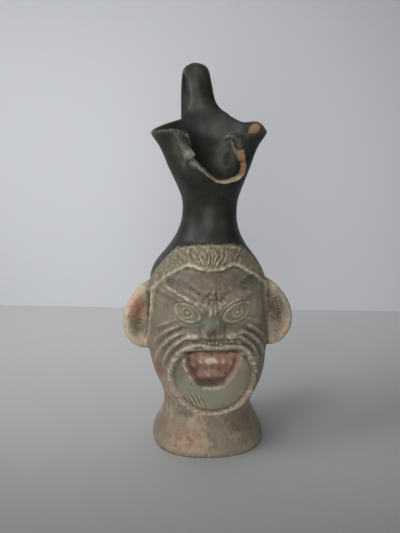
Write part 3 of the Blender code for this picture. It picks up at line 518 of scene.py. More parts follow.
# Arch as (share of the way out, share of the way up, width, thickness, bow, millimetres aside)
HANDLE_ARCH = (
    (0.03, 0.04, 1.45, 0.62, 0.85, 3), (0.07, 0.14, 1.22, 0.84, 0.4, 1.9), (0.14, 0.3, 1.06, 0.98, 0.1, 1.1),
    (0.25, 0.66, 0.99, 1, 0, 0.3), (0.42, 0.91, 0.98, 1, 0, 0), (0.64, 1, 0.98, 1, 0, 0),
    (0.85, 0.86, 1, 1, 0, 0), (0.965, 0.5, 1, 1, 0, 0),
)
# Fall as (share of the way out from the nape, share of the way up to the lip, and as above)
HANDLE_FALL = (
    (1, 0.97, 1, 1, 0), (0.99, 0.78, 1, 1, 0), (0.92, 0.58, 1, 1, 0),
    (0.79, 0.4, 1, 1, 0), (0.62, 0.25, 1.02, 1, 0.1), (0.42, 0.14, 1.12, 1, 0.5),
    (0.24, 0.06, 1.35, 0.95, 1), (0.08, -0.01, 1.6, 0.7, 1.3), (-0.02, -0.06, 1.5, 0.3, 1.4),
)


def strap_rings():
    """The strap as rings along its middle line: ovals, crowned outside, that where they spread bow by
    x^2 / 2R with the wall behind them and thin towards their edges."""
    back = np.array([pi])
    up = lip_height(back)[0]
    lip_y, lip_z = LIP_BACK - NECK_WALL / 2, HEAD_TALL + up
    nape_y = plain_face(np.array([NAPE_TALL]), back)[0] - HEAD_WALL / 2
    stations = []
    for share, wide, deep, bow, aside in HANDLE_ROOT:
        y = neck_radius(np.array([share]), back)[0] - NECK_WALL / 2
        stations.append((aside, 0, y, HEAD_TALL + share * up, wide, deep, bow / LIP_BACK))
    for out, climb, wide, deep, bow, aside in HANDLE_ARCH:
        y = lip_y + (HANDLE_REACH - lip_y) * out
        z = lip_z + (HANDLE_RISE - STRAP_CROWN * STRAP_THICK / 2) * climb
        stations.append((aside, out, y, z, wide, deep, bow / LIP_BACK))
    for out, climb, wide, deep, bow in HANDLE_FALL:
        y = nape_y + (HANDLE_REACH - nape_y) * out
        stations.append((0, out, y, NAPE_TALL + (lip_z - NAPE_TALL) * climb, wide, deep, bow / HEAD_BACK))
    stations = np.array(stations) * (1, 1, 1, 1, STRAP_WIDE, STRAP_THICK, 1)
    aside, out, y, z, wide, thick, bow = (column[:, None] for column in smooth_line(stations, STRAP_ROWS))
    x = -HANDLE_OFFSET - HANDLE_SKEW * out + aside
    dy, dz = np.gradient(y, axis=0), np.gradient(z, axis=0)
    length = np.hypot(dy, dz)
    turn = np.arange(STRAP_COLUMNS)[None, :] / STRAP_COLUMNS * 2 * pi
    side = np.cos(turn) * wide / 2
    thinning = 0.9 + 1.3 * np.clip(bow * LIP_BACK, 0, 1)
    depth = np.sign(np.sin(turn)) * np.abs(np.sin(turn)) ** thinning
    crown = 1 + (STRAP_CROWN - 1) * (depth > 0) * (1 - np.clip(bow * LIP_BACK, 0, 1))
    deep = (depth * crown + 0.1 * rise(np.cos(turn), 0.15, 0.3) * (depth > 0)) * thick / 2
    ring_y = y - dz / length * deep - bow * (x - side) ** 2 / 2
    return np.stack([x - side, ring_y, z + dy / length * deep], axis=-1)


handle = closed_piece("handle", list(strap_rings()))


# Ears
# Two standing ears, pressed apart and luted on: a thick round rim about a hollow with an inner fold.
EAR_REACH = 16.0
EAR_HALF_TALL = 20.75
EAR_DROP = 4.25
EAR_POINTED = 1.22
EAR_THICK = 7.5
EAR_HOLLOW = 4.4
EAR_BEFORE = -2.0
EAR_MIDDLE = 79.25
EAR_ROWS = 16
EAR_COLUMNS = 80


def ear_rings(side):
    """Rings from the middle of the front round the rim to the middle of the back: half an oval, widest
    below its middle, whose front sinks to a shell inside the rim."""
    turn = np.arange(EAR_COLUMNS) / EAR_COLUMNS * 2 * pi
    outward = np.clip(np.cos(turn), 0, 1) ** EAR_POINTED * EAR_REACH
    outward = outward - np.clip(-np.cos(turn), 0, 1) * HEAD_WALL * 0.6
    upward = np.sin(turn) * EAR_HALF_TALL - np.clip(np.cos(turn), 0, 1) * EAR_DROP
    rings = []
    for row in range(2 * EAR_ROWS):
        front = row < EAR_ROWS
        share = (row + 1) / EAR_ROWS if front else (2 * EAR_ROWS - row) / (EAR_ROWS + 0.6)
        edge = sqrt(max(0, 1 - min(share, 1) ** 5))
        x, z = side * (HEAD_SIDE - 0.5 + outward * share), EAR_MIDDLE + upward * share
        hollow = EAR_HOLLOW * (1 - ease(0.4, 0.84, share)) + 0.2 * ripple(x, z, 5, 19)
        fold = 1.7 * rise(share, 0.46 + 0.1 * np.cos(turn), 0.11) * ease(-0.5, 0.5, np.sin(turn))
        y = hollow - fold - EAR_THICK / 2 * edge if front else EAR_THICK / 2 * edge + 0 * z
        rings.append(np.stack([x, EAR_BEFORE + y - 0.2 * outward * share, z], axis=-1))
    return [ring[::-1] for ring in rings] if side > 0 else rings


ears = [closed_piece("ear", ear_rings(side)) for side in (1, -1)]


# Broken spout
# The spout is broken away down to 26 mm below the lobes, in a slanting break that shows the clay. Beside each
# pinch the curled end of the lip is left, and a chip has flaked off the inner edge of the right lobe.
BREAK_DEEP = 26.0
# The broken edge as (degrees from the front, share of its depth, how far the break opens outwards in mm)
BREAK_EDGE = (
    (-41, 0, 0.3), (-43, 0.24, 0.3), (-41, 0.4, 0.4), (-35, 0.485, 0.6), (-27, 0.545, 0.8), (-16, 0.666, 1),
    (-5.4, 0.79, 1.1), (8, 0.925, 1.1), (18, 0.97, 1.1), (35, 0.945, 1.4), (50, 0.925, 1), (59, 0.89, 0.6),
    (63.5, 0.8, 0.4), (64.5, 0.67, 0.35), (61, 0.54, 0.5), (57.3, 0.39, 1), (54, 0.26, 1), (50, 0.14, 0.9),
    (43, 0, 0.6),
)
BREAK_STEPS = 150
BREAK_REACH = 60.0
# The curled ends as (degrees, millimetres below the lobes, distance from the axis, thickness)
LEFT_CURL = (
    (-56, -0.4, 20.5, 3), (-53, 1.8, 20.6, 5.4), (-46, 5, 20.8, 6.2), (-37.5, 8.6, 21.6, 6),
    (-29, 12, 23.4, 6),
)
RIGHT_CURL = (
    (27, 3.6, 15.6, 1.6), (31, 2.2, 16.8, 3.4), (38, 1.4, 18.2, 4.4), (46, 2, 19.2, 5), (52, 4.6, 19.9, 4.8),
    (55, 8.6, 19.9, 3.8),
)
CURL_ROWS = 36
CURL_COLUMNS = 24
# The chip's half sizes through, along and up the wall, and its place: inside the wall and below the lip
CHIP_SIZE = (2.6, 5.0, 3.8)
CHIP_ANGLE = 102
CHIP_INWARDS = 3.9
CHIP_DROP = 3.8
CHIP_ROWS = 18
CHIP_COLUMNS = 40


def neck_point(degrees, height, inwards=0):
    """Points on the neck's outside, or that far inside it, at a height above the floor."""
    angle = np.radians(degrees)
    share = np.clip((height - HEAD_TALL) / lip_height(angle), 0, 1)
    return ring_points(neck_radius(share, angle) - inwards, height, angle)


def curl(stations):
    """A round roll of clay carried along its stations, with its first end domed."""
    degrees, drop, reach, thick = smooth_line(stations, CURL_ROWS)
    middle = ring_points(reach, HEAD_TALL + NECK_TALL - drop, np.radians(degrees))
    forward = np.gradient(middle, axis=0)
    forward /= np.linalg.norm(forward, axis=1)[:, None]
    second = np.cross(forward, middle * (1, 1, 0))
    second /= np.linalg.norm(second, axis=1)[:, None]
    first = np.cross(second, forward)
    turn = np.arange(CURL_COLUMNS)[None, :, None] / CURL_COLUMNS * 2 * pi
    over, aside = np.cos(turn), np.sin(turn)
    uneven = 1 + 0.07 * ripple(middle[:, :1] + 2 * over[..., 0], middle[:, 2:] + 2 * aside[..., 0], 4, 23)
    roll = over * first[:, None] + aside * second[:, None]
    rings = middle[:, None] + (thick[:, None] / 2 * uneven)[..., None] * roll
    return closed_piece("curl", list(rings), (middle[0] - 0.4 * forward[0], middle[-1]))


def broken_wedge():
    """All that lies before the broken edge: the edge carried out from the axis, jagged by 0.2 mm, and moved
    along its own normal, one way on the wall's inside and the other on its outside."""
    top = HEAD_TALL + NECK_TALL + LIP_CLIMB + HANDLE_RISE
    degrees, share, opens = smooth_line(BREAK_EDGE, BREAK_STEPS)
    down = share * BREAK_DEEP
    outside = neck_radius(1 - down / NECK_TALL, np.radians(degrees))
    radius = outside.mean()
    across = np.radians(degrees) * radius
    step_across, step_down = np.gradient(across), np.gradient(down)
    length = np.hypot(step_across, step_down)
    reaches = (0.3 * outside, outside - NECK_WALL, outside, BREAK_REACH + 0 * outside)
    rings = []
    for number, (reach, way) in enumerate(zip(reaches, (-1, -1, 1, 1))):
        draw = np.random.default_rng(21 + number)
        jag = np.convolve(draw.uniform(-1, 1, BREAK_STEPS + 4), (0.2, 0.5, 1, 0.5, 0.2), "valid")
        move = way * opens + 0.22 * jag
        turn = (across - move * step_down / length) / radius
        height = HEAD_TALL + NECK_TALL - down - move * step_across / length
        ring = np.stack([reach * np.sin(turn), -reach * np.cos(turn), height], axis=-1)
        rings.append(np.concatenate([[(*ring[0, :2], top)], ring, [(*ring[-1, :2], top)]]))
    return closed_piece("break", rings)


def chip():
    """A lumpy egg that leans with the wall: every point's depth is taken from the wall's outside there."""
    turn = np.arange(CHIP_COLUMNS) / CHIP_COLUMNS * 2 * pi
    across, along, tall = CHIP_SIZE
    middle = HEAD_TALL + lip_height(radians(CHIP_ANGLE)) - CHIP_DROP
    rings = []
    for up in np.linspace(-1.4, 1.4, CHIP_ROWS):
        lumpy = cos(up) * (1 + 0.08 * ripple(3 * np.cos(turn), 3 * np.sin(turn) + 2 * up, 2.5, 24))
        height = middle + tall * sin(up)
        degrees = CHIP_ANGLE + np.degrees(along * lumpy * np.sin(turn) / LOBE)
        rings.append(neck_point(degrees, height, CHIP_INWARDS - across * (lumpy * np.cos(turn))))
    return closed_piece("chip", rings)


def join(shape, tools, operation):
    """Fuse the tools with the shape, or cut them from it, and remove them."""
    for tool in tools:
        step = shape.modifiers.new(tool.name, "BOOLEAN")
        step.operation = operation
        step.object = tool
        step.material_mode = "TRANSFER"
    result = bpy.data.meshes.new_from_object(shape.evaluated_get(bpy.context.evaluated_depsgraph_get()))
    shape.modifiers.clear()
    shape.data = result
    for tool in tools:
        bpy.data.objects.remove(tool)


def cut_level(shape):
    """Cut the spare clay off at the floor and close the cut with one plane."""
    mesh = bmesh.new()
    mesh.from_mesh(shape.data)
    parts = mesh.verts[:] + mesh.edges[:] + mesh.faces[:]
    cut = bmesh.ops.bisect_plane(mesh, geom=parts, dist=1e-7, plane_no=(0, 0, 1), clear_inner=True)
    rim = [part for part in cut["geom_cut"] if isinstance(part, bmesh.types.BMEdge)]
    bmesh.ops.contextual_create(mesh, geom=rim)
    mesh.to_mesh(shape.data)
    mesh.free()


fired = bpy.data.materials.new("moulded_clay_and_black_glaze")
broken = bpy.data.materials.new("broken_clay")
curls = [curl(LEFT_CURL), curl(RIGHT_CURL)]
cutters = [broken_wedge(), chip()]
for shape in [jug, handle, *ears, *curls]:
    shape.data.materials.append(fired)
for shape in cutters:
    shape.data.materials.append(broken)
join(jug, [handle, *ears], "UNION")
cut_level(jug)
join(jug, cutters, "DIFFERENCE")
join(jug, curls, "UNION")
jug.data.shade_smooth()

# Surface of the fired piece
# The joints were smeared over while wet. Since then the ridges have worn to pale clay, dirt and a greenish
# film lie in the hollows, and the head's thin wash and colour are left in patches. The pale on the ridges is
# also painted highlight, and the dark in the hollows is also painted shade.


def read(group, name, wide, kind=float):
    """The named value of every vertex, edge or triangle, in rows."""
    flat = np.empty(len(group) * wide, kind)
    group.foreach_get(name, flat)
    return flat.reshape(-1, wide)


mesh = jug.data
count = len(mesh.vertices)
points = read(mesh.vertices, "co", 3) / MM
one, other = read(mesh.edges, "vertices", 2, np.int32).T
mesh.calc_loop_triangles()
corners = read(mesh.loop_triangles, "vertices", 3, np.int32)
neighbours = np.bincount(one, minlength=count) + np.bincount(other, minlength=count)


def among_neighbours(value):
    """The mean of each point's neighbours."""
    total = np.bincount(one, value[other], count) + np.bincount(other, value[one], count)
    return total / neighbours


def outward(points):
    """Each point's normal: the sum of its triangles' cross products, made one long."""
    a, b, c = (points[corner] for corner in corners.T)
    cross = np.cross(b - a, c - a)
    total = [sum(np.bincount(corner, part, count) for corner in corners.T) for part in cross.T]
    total = np.stack(total, axis=1)
    return total / np.linalg.norm(total, axis=1)[:, None]


def near(middle, size):
    """exp(-distance^2) about a point, with a size along each axis."""
    return np.exp(-((((points - middle) / size) ** 2).sum(axis=1)))


# A thumb's smear along each joint: a point moves to the middle of its neighbours where that is outwards, and
# where the wall was wiped also inwards
SMEAR_STEPS = 60
smeared = near((-2, 23, 189), (24, 14, 15)) + near((-5, 33, 112), (14, 9, 12))
for side in (1, -1):
    smeared = smeared + near((34 * side, -2, 79), (4, 9, 24))
    smeared = smeared + near(neck_point(47 * side, HEAD_TALL + NECK_TALL - 3), (5, 5, 5))
smeared = np.clip(smeared * 1.8, 0, 1) * 0.6
wiped = near((19, 16, 188), (6, 6, 6)) * 0.6
for _ in range(SMEAR_STEPS):
    shift = np.stack([among_neighbours(part) for part in points.T], axis=1) - points
    normal = outward(points)
    lift = (shift * normal).sum(axis=1)
    points = points + np.where(lift > 0, smeared, wiped)[:, None] * shift
mesh.vertices.foreach_set("co", (points * MM).ravel())
mesh.update()

# How sharply the surface bends, in 1/mm: edges are positive and grooves negative
shift = np.stack([among_neighbours(part) for part in points.T], axis=1) - points
normal = outward(points)
spread = ((points[one] - points[other]) ** 2).sum(axis=1)
spread = (np.bincount(one, spread, count) + np.bincount(other, spread, count)) / neighbours
bend = np.clip(-2 * (shift * normal).sum(axis=1) / spread, -1.2, 1.2)
for _ in range(3):
    bend = 0.5 * bend + 0.5 * among_neighbours(bend)
broad = bend
for _ in range(10):
    broad = 0.5 * broad + 0.5 * among_neighbours(broad)
# Pale on edges is wear and painted highlight, and dark in grooves is dirt and painted shade. Points whose two
# triangles lie back to back have no normal, so none of it is laid there
wear_and_highlight = np.nan_to_num(np.clip(ease(0.07, 0.5, bend) + 0.7 * ease(0.03, 0.2, broad), 0, 1))
grime_and_shade = np.nan_to_num(np.clip(ease(0.05, 0.4, -bend) + 0.7 * ease(0.02, 0.18, -broad), 0, 1))

x, y, z = points.T
angle = np.arctan2(x - lean(z), -y)
beside = np.abs(from_front(angle))
radius = np.hypot(x - lean(z), y)
front = ease(-0.05, 0.25, np.cos(angle))
on_ear = ease(34.5, 37.5, np.abs(x)) * (z < 105)
share = np.clip((z - HEAD_TALL) / lip_height(angle), 0, 1)
hollow = np.where(z < HEAD_TALL, hollow_head(z, angle), neck_radius(share, angle) - NECK_WALL)
inside = (radius < hollow + 1) & (z > FLOOR_THICK - 0.5)

# The glaze ends over the hair and behind the ears, as (degrees from the front, height)
GLAZE_EDGE = (
    (0, 124), (32, 123.2), (47, 121.8), (61, 120), (71, 113.2), (79, 105), (92, 98), (110, 88),
    (140, 79), (180, 76),
)
# Inside, it fades between these heights
GLAZE_INSIDE = (138, 160)
glazed = ease(-0.5, 0.5, z - through(GLAZE_EDGE, beside) + 0.4 * ripple(x, z + y, 5, 31))
glazed = glazed * (1 - on_ear) * np.where(inside, ease(*GLAZE_INSIDE, z), 1)


def linear(colour):
    """An sRGB hex colour as linear light, by the standard's two-part curve."""
    value = np.array([int(colour[i:i + 2], 16) for i in (1, 3, 5)]) / 255
    return np.where(value <= 0.04045, value / 12.92, ((value + 0.055) / 1.055) ** 2.4)


def stain(tint, colour, amount):
    """A colour laid over the clay's by an amount from 0 to 1."""
    amount = np.clip(amount, 0, 1)[:, None]
    return tint * (1 - amount) + linear(colour) * amount


face = front * ease(26, 34, z) * (1 - on_ear)
dish = from_dish(x, z)
mouth = ease(-0.2, 0.9, inside_mouth(x, z) + 0.45 * ripple(x, z, 3.4, 43) * (x > 3)) * face
hair_low, hair_high = through(HAIRLINE, np.abs(x)), through(HAIR_TOP, np.abs(x))
hair = ease(hair_low - 0.5, hair_low + 0.5, z) * (1 - ease(hair_high - 0.3, hair_high + 0.5, z)) * front
foot = 1 - ease(30, 44, z - 14 * np.clip(np.cos(angle), 0, 1))
ear_front = on_ear * ease(0.4, -0.2, np.nan_to_num(normal[:, 1]))

tint = np.tile(linear("#7c7364"), (count, 1))
tint = stain(tint, "#9f8b78", foot)
tint = stain(tint, "#75695b", (1 - front) * ease(40, 60, z))
# Patches on the front as (middle x and z, half sizes, slant in degrees, strength, colour)
PATCHES = (
    (2, 106, 17, 6.5, 0, 0.9, "#605546"), (9.5, 106.5, 7, 4.5, 0, 0.7, "#645043"),
    (-15, 106, 8, 5, 0, 0.8, "#635e50"), (0.5, 97.5, 8, 4.5, 0, 0.7, "#5b4f40"),
    (-21, 104.5, 4, 2.5, 0, 0.8, "#4c483c"), (-18, 98.6, 9, 4.2, -25, 0.6, "#7b6153"),
    # The dark patch at (21, 103.5) is painted shade in the hollow right of the forehead
    (-23, 100, 3, 2, -25, 0.5, "#8f765c"), (21, 103.5, 6, 5, 0, 0.95, "#45453a"),
    # The pale patch at (25, 87) is painted light on the right cheek
    (25, 87, 5, 9, 0, 0.9, "#988c78"), (10, 95.4, 7, 1.3, 20, 0.8, "#5d3f33"),
    # The slanting dark lines at (10, 95.4) and (-9, 94.2) are painted shadow under the brows
    (-9, 94.2, 6, 1.2, -22, 0.7, "#664a3c"),
    (14, 89, 9.5, 6.5, 23, 0.9, "#7d7a64"), (-14, 89, 9.5, 6.5, -23, 0.9, "#7c7965"),
    (0, 90, 3, 4.5, 0, 0.7, "#6e6654"), (0, 83.5, 22, 3.4, 0, 0.85, "#65665c"),
    # The small pale middle at (-0.9, 77.6) is a painted highlight on the nose's knob
    (-0.9, 77.6, 4.4, 4.4, 0, 1, "#37331f"), (-0.9, 77.6, 1.2, 1.2, 0, 0.8, "#6d643c"),
    (-9.5, 75.6, 5.5, 3, 0, 0.9, "#8a7f68"), (-13.4, 76.4, 1, 3.6, 0, 0.9, "#c4b99a"),
    (8.7, 75.4, 5, 3, 0, 0.8, "#7f7262"), (15.6, 77.6, 2, 1.3, 0, 0.8, "#b7ac92"),
    (0, 73, 16, 1.8, 0, 0.8, "#7d745f"), (-25, 72, 6, 10, 0, 0.8, "#6f6757"),
    (25, 72, 6, 9, 0, 0.9, "#706b60"), (20.5, 75, 4.5, 4.5, 0, 0.8, "#5f5f56"),
)
# The same on the dish and the jaw, the painted mouth and the foot
DISH_PATCHES = (
    (-19.5, 57, 4, 9, 0, 0.8, "#666957"), (14, 47, 7, 8, 30, 0.8, "#847b66"),
    (17, 58.5, 2.7, 3.8, 0, 0.9, "#8b8b72"), (16.5, 64, 4, 3.5, 0, 0.7, "#7f7c66"),
    (-29, 54.5, 1.6, 5, 12, 0.85, "#84572f"), (-27.5, 62, 3.5, 7, 0, 0.6, "#746852"),
)
TONGUE_PATCHES = (
    (-12, 60, 6, 7, 0, 0.8, "#6b5145"), (-2, 49.8, 10, 3, 0, 0.85, "#59483a"),
    # The pale spot at (-1.4, 62.4) is a painted highlight on the tongue
    (7.5, 56, 5, 5, 0, 0.6, "#80604f"), (-1.4, 62.4, 3.6, 2, 0, 0.95, "#b9b097"),
    (-5.5, 63.8, 2.4, 0.9, -20, 0.7, "#a88d78"), (-4.6, 56, 0.9, 2.4, 12, 0.8, "#917f70"),
    (-2, 56.6, 0.8, 2.2, -25, 0.8, "#917f70"), (-12.4, 68.6, 2.6, 1, 0, 0.9, "#b79d8a"),
)
FOOT_PATCHES = (
    (-17, 11, 11, 8, 0, 0.7, "#a88670"), (-9, 21.5, 10, 4, 0, 0.8, "#b0a284"), (-2, 8, 8, 5, 0, 0.6, "#ab937b"),
    (16, 20, 9, 8, 0, 0.8, "#736b57"), (25, 8, 8, 8, 0, 0.8, "#7c755e"), (-30, 10, 5, 10, 0, 0.8, "#716d5b"),
    (-14, 24, 5, 2, 0, 0.7, "#5d553f"), (12, 6, 7, 4, 0, 0.6, "#8d7a66"), (-27, 12, 6, 10, 0, 0.7, "#857863"),
)
# The same on the ears' fronts, as (side, middle x and z, half sizes, strength, colour)
EAR_PATCHES = (
    (-1, 41.5, 83, 5.2, 10, 1.7, "#bd8c72"), (-1, 41, 72, 3, 4, 1.4, "#85806b"),
    # The +X ear's dark patch at (39.8, 81) is painted shade in its hollow
    (1, 39.8, 81, 3.4, 9, 1.8, "#65574a"), (1, 45, 69, 3, 5, 1.4, "#b08a68"),
)


def patches(tint, table):
    """Patches on the jug's front: mounds with their edges made ragged by small ripples."""
    ragged = 0.08 * ripple(x, z, 3.1, 41) + 0.06 * ripple(x, z, 1.2, 42)
    for middle_x, middle_z, half_x, half_z, slant, strength, colour in table:
        shape = mound(x, z, (middle_x, middle_z), (half_x, half_z), radians(slant)) + ragged
        tint = stain(tint, colour, strength * ease(0.25, 0.62, shape) * front)
    return tint


tint = patches(tint, PATCHES)
tint = stain(tint, "#7d7e6a", 0.95 * (1 - ease(0.93, 1.03, dish)) * (z < 70) * face)
tint = patches(tint, DISH_PATCHES)
tint = stain(tint, "#906c5b", mouth)
tint = patches(tint, TONGUE_PATCHES)
tint = stain(tint, "#777058", hair)
tint = patches(tint, FOOT_PATCHES)
tint = stain(tint, "#77725d", 0.8 * (1 - ease(1.5, 4.5, z + 0.6 * ripple(x, y, 6, 44))))
tint = stain(tint, "#ab9b85", on_ear)
# Painted light: the -X ear's front is paler, as if lit from the left
tint = stain(tint, "#c3b299", ear_front * (x < 0))
for side, middle_x, middle_z, half_x, half_z, strength, colour in EAR_PATCHES:
    shape = mound(side * x, z, (middle_x, middle_z), (half_x, half_z))
    tint = stain(tint, colour, ear_front * strength * shape)
# Painted highlights: the hairline's ridge beside its dip, the face's edges, and the lids, strongest on the
# +X eye's upper lid and the -X eye's lower lid
pale = rise(z, hair_low + 0.3, 0.8) * (rise(x, -9, 7.5) + rise(x, 16, 7)) * front
pale = pale + 0.8 * rise(beside, through(EAR_RIDGE, z), 3.6) * ease(56, 66, z) * (1 - ease(99, 105, z))
_, over, edge = eye_place(x, z)
eye = (1 - ease(1.2, 1.5, edge)) * face
lids = rise(edge, 1, 0.13) * face * (0.75 + 0.25 * np.sign(over) * np.sign(x + 3))
pale = pale + 0.6 * lids * (1 - ease(-0.4, 0.7, ripple(x, z, 7, 51)))
tint = stain(tint, "#c4baa0", np.clip(pale, 0, 0.9) * (1 - on_ear))

# Where the wash is blotched, pale specks crowd, and the break is grey with dirt
knob = mound(x, z, (-0.9, 77.6), (4.8, 4.6)) * face
blotched = (1 - 0.75 * (1 - ease(0.9, 1.02, dish)) * face * (z < 70)) * (1 - 0.6 * mouth) * (1 - 0.8 * knob)
crowded = 0.45 + 0.35 * np.sign(x) * ease(0, 12, np.abs(x)) + 0.3 * ripple(x, z, 11, 52)
specked = crowded * rise(dish, 1.12, 0.11) * (z < 74) * face + 0.3 * mound(x, z, (0.5, 96), (8, 6)) * face
specked = specked + 0.2 * hair + 0.25 * mound(x, z, (0, 73.5), (19, 3)) * face + 0.3 * on_ear
dusted = 1 - ease(-10, 6, np.degrees(angle)) + ease(172, 178, z) * (x < 22)
# Less dirt and painted shade on ears, eyes and moustache, and neither wear nor painted highlight on the
# nose's tip or right of the mouth
grime_and_shade = grime_and_shade * (1 - on_ear * np.where(x < 0, 0.8, 0.4)) * (1 - 0.8 * eye)
grime_and_shade = grime_and_shade * (1 - 0.6 * mound(x, z, (0, 73.5), (17, 2.4)) * face)
mouth_right = rise(inside_mouth(x, z), 0, 2.2) * ease(0, 6, x) * face * (z < 66)
wear_and_highlight = wear_and_highlight * (1 - 0.9 * knob) * (1 - 0.75 * mouth_right)
# Where the glaze is bare, scuffed and in places painted lighter as light, painted dark as shade inside the jug
# below about 180 mm, and where the break is cream with dirt
bared = near((-9.8, -20.5, 171.4), (3.4, 3.6, 3.4)) * 1.8
rim = rise(z, HEAD_TALL + lip_height(angle) - 0.3, 1.5) * ease(-0.2, 0.6, ripple(4 * x, z, 9, 53))
# Scuffs on the glaze; the paler glaze on the left lobe's rim and inside and on the inner wall right of the
# handle is also painted light
scuffed_and_lit = (
    near((-16.5, -13, 177), (5, 5, 5)) + near((-21, 4, 185), (10, 9, 6)) + 1.4 * near((11, 15, 168), (6, 7, 9))
    + 1.4 * near((13, -14, 179), (6, 5, 5)) + 1.5 * rim * near((-27, -4, 184), (12, 9, 6))
)
# Painted shade: the inside below about 180 mm is painted dark, and made matt
shaded_inside = inside * (1 - ease(177, 183, z + 0.3 * x))
creamed = (1 - ease(159.5, 162.5, z)) * (z > 150)
creamed = creamed + near((20, -8, 173), (3, 6, 2)) + 0.5 * near((24, 8, 188), (3, 4, 3))
masks = {
    "glazed": glazed, "wear_and_highlight": wear_and_highlight, "grime_and_shade": grime_and_shade, "blotched": blotched, "specked": specked, "dusted": dusted,
    "bared": bared, "scuffed_and_lit": scuffed_and_lit, "shaded_inside": shaded_inside, "creamed": creamed,
}
for name, value in masks.items():
    value = np.clip(value, 0, 1).astype(np.float32)
    mesh.attributes.new(name, "FLOAT", "POINT").data.foreach_set("value", value)
colour = np.concatenate([tint, np.ones((count, 1))], axis=1).astype(np.float32)
mesh.attributes.new("tint", "FLOAT_COLOR", "POINT").data.foreach_set("color", colour.ravel())


def node(tree, kind, inputs, **settings):
    """Add a node with its settings. An input takes a value, or the output that it is linked to."""
    made = tree.nodes.new("ShaderNode" + kind)
    for name, value in settings.items():
        setattr(made, name, value)
    for name, value in inputs.items():
        if isinstance(value, bpy.types.NodeSocket):
            tree.links.new(value, made.inputs[name])
        else:
            made.inputs[name].default_value = value
    return made


def lay(tree, colour, layers):
    """Lay blotches over a colour. Each layer is (where, grain in mm, the noise below which there is little
    and above which there is much, how little, how much, colour)."""
    place = node(tree, "TexCoord", {}).outputs["Object"]
    for where, grain, low, high, least, most, laid in layers:
        noise = node(tree, "TexNoise", {"Vector": place, "Scale": 1 / (grain * MM), "Detail": 4})
        amount = node(
            tree, "MapRange",
            {"Value": noise.outputs[0], "From Min": low, "From Max": high, "To Min": least, "To Max": most},
            interpolation_type="SMOOTHSTEP",
        )
        mask = node(tree, "Attribute", {}, attribute_name=where).outputs["Fac"]
        share = node(tree, "Math", {0: amount.outputs[0], 1: mask}, operation="MULTIPLY").outputs[0]
        colour = node(tree, "Mix", {0: share, 6: colour, 7: (*linear(laid), 1)}, data_type="RGBA").outputs[2]
    return colour


# Moulded clay: matt, dusty where it is worn and smoother where the wash is left, paler on ridges with wear
# and painted highlight, darker in grooves with dirt and painted shade. Black glaze: a fine slip, dark
# grey-green with a satin gloss, pitted, scuffed on its edges, painted lighter as light on parts of the lip,
# and painted dark as shade inside the jug.
CLAY_LAYERS = (
    ("blotched", 12, 0.45, 0.6, 0, 0.45, "#64645a"),
    ("blotched", 6, 0.48, 0.62, 0, 0.4, "#836a58"),
    ("blotched", 3.2, 0.5, 0.7, 0, 0.45, "#554d3d"),
    ("blotched", 2, 0.6, 0.7, 0, 0.35, "#a69b80"),
    # Dirt and painted shade in grooves, then wear and painted highlight on ridges
    ("grime_and_shade", 2.4, 0.25, 0.6, 0.3, 0.85, "#3c3529"),
    ("wear_and_highlight", 2.2, 0.35, 0.62, 0.15, 0.85, "#c2b79c"),
    ("specked", 1.6, 0.52, 0.6, 0, 0.9, "#cbc1a6"),
    ("specked", 1.5, 0.55, 0.63, 0, 0.5, "#4a4334"),
)
GLAZE_LAYERS = (
    ("glazed", 7, 0.35, 0.65, 0, 1, "#25271f"),
    ("glazed", 0.9, 0.7, 0.74, 0, 0.7, "#7d7a6c"),
    # Dirt and painted shade in grooves, then wear and painted highlight on edges
    ("grime_and_shade", 2, 0.3, 0.6, 0.1, 0.6, "#45443c"),
    ("wear_and_highlight", 1.5, 0.4, 0.7, 0.1, 0.75, "#5d5d52"),
    # Painted shade inside the jug below about 180 mm
    ("shaded_inside", 5, 0.3, 0.7, 0.6, 1, "#11120f"),
    # Scuffs, and painted light on parts of the lip and the inner wall
    ("scuffed_and_lit", 5, 0.25, 0.6, 0, 0.75, "#55564c"),
    ("bared", 1.6, 0.2, 0.5, 0.6, 1, "#9a9b8c"),
)
fired.use_nodes = True
tree = fired.node_tree
tree.nodes.clear()
place = node(tree, "TexCoord", {}).outputs["Object"]
is_glaze = node(tree, "Attribute", {}, attribute_name="glazed").outputs["Fac"]
clay = lay(tree, node(tree, "Attribute", {}, attribute_name="tint").outputs["Color"], CLAY_LAYERS)
glaze = lay(tree, (*linear("#191b17"), 1), GLAZE_LAYERS)
colour = node(tree, "Mix", {0: is_glaze, 6: clay, 7: glaze}, data_type="RGBA").outputs[2]
smooth = node(tree, "TexNoise", {"Vector": place, "Scale": 1 / (4 * MM), "Detail": 3}).outputs[0]
matt = node(tree, "MapRange", {"Value": smooth, "To Min": 0.42, "To Max": 0.72}).outputs[0]
gloss = node(tree, "MapRange", {"Value": smooth, "To Min": 0.4, "To Max": 0.54}).outputs[0]
is_shaded_inside = node(tree, "Attribute", {}, attribute_name="shaded_inside").outputs["Fac"]
gloss = node(tree, "Mix", {0: is_shaded_inside, 2: gloss, 3: 0.8}).outputs[0]
rough = node(tree, "Mix", {0: is_glaze, 2: matt, 3: gloss}).outputs[0]
grain = node(tree, "TexNoise", {"Vector": place, "Scale": 1 / (0.7 * MM), "Detail": 4}).outputs[0]
slip = node(tree, "TexNoise", {"Vector": place, "Scale": 1 / (5 * MM), "Detail": 2}).outputs[0]
height = node(tree, "Mix", {0: is_glaze, 2: grain, 3: slip}).outputs[0]
bump = node(tree, "Bump", {"Strength": 0.5, "Distance": 0.6 * MM, "Height": height}).outputs[0]
surface = node(tree, "BsdfPrincipled", {"Base Color": colour, "Roughness": rough, "Normal": bump, "IOR": 1.42})
node(tree, "OutputMaterial", {"Surface": surface.outputs[0]})

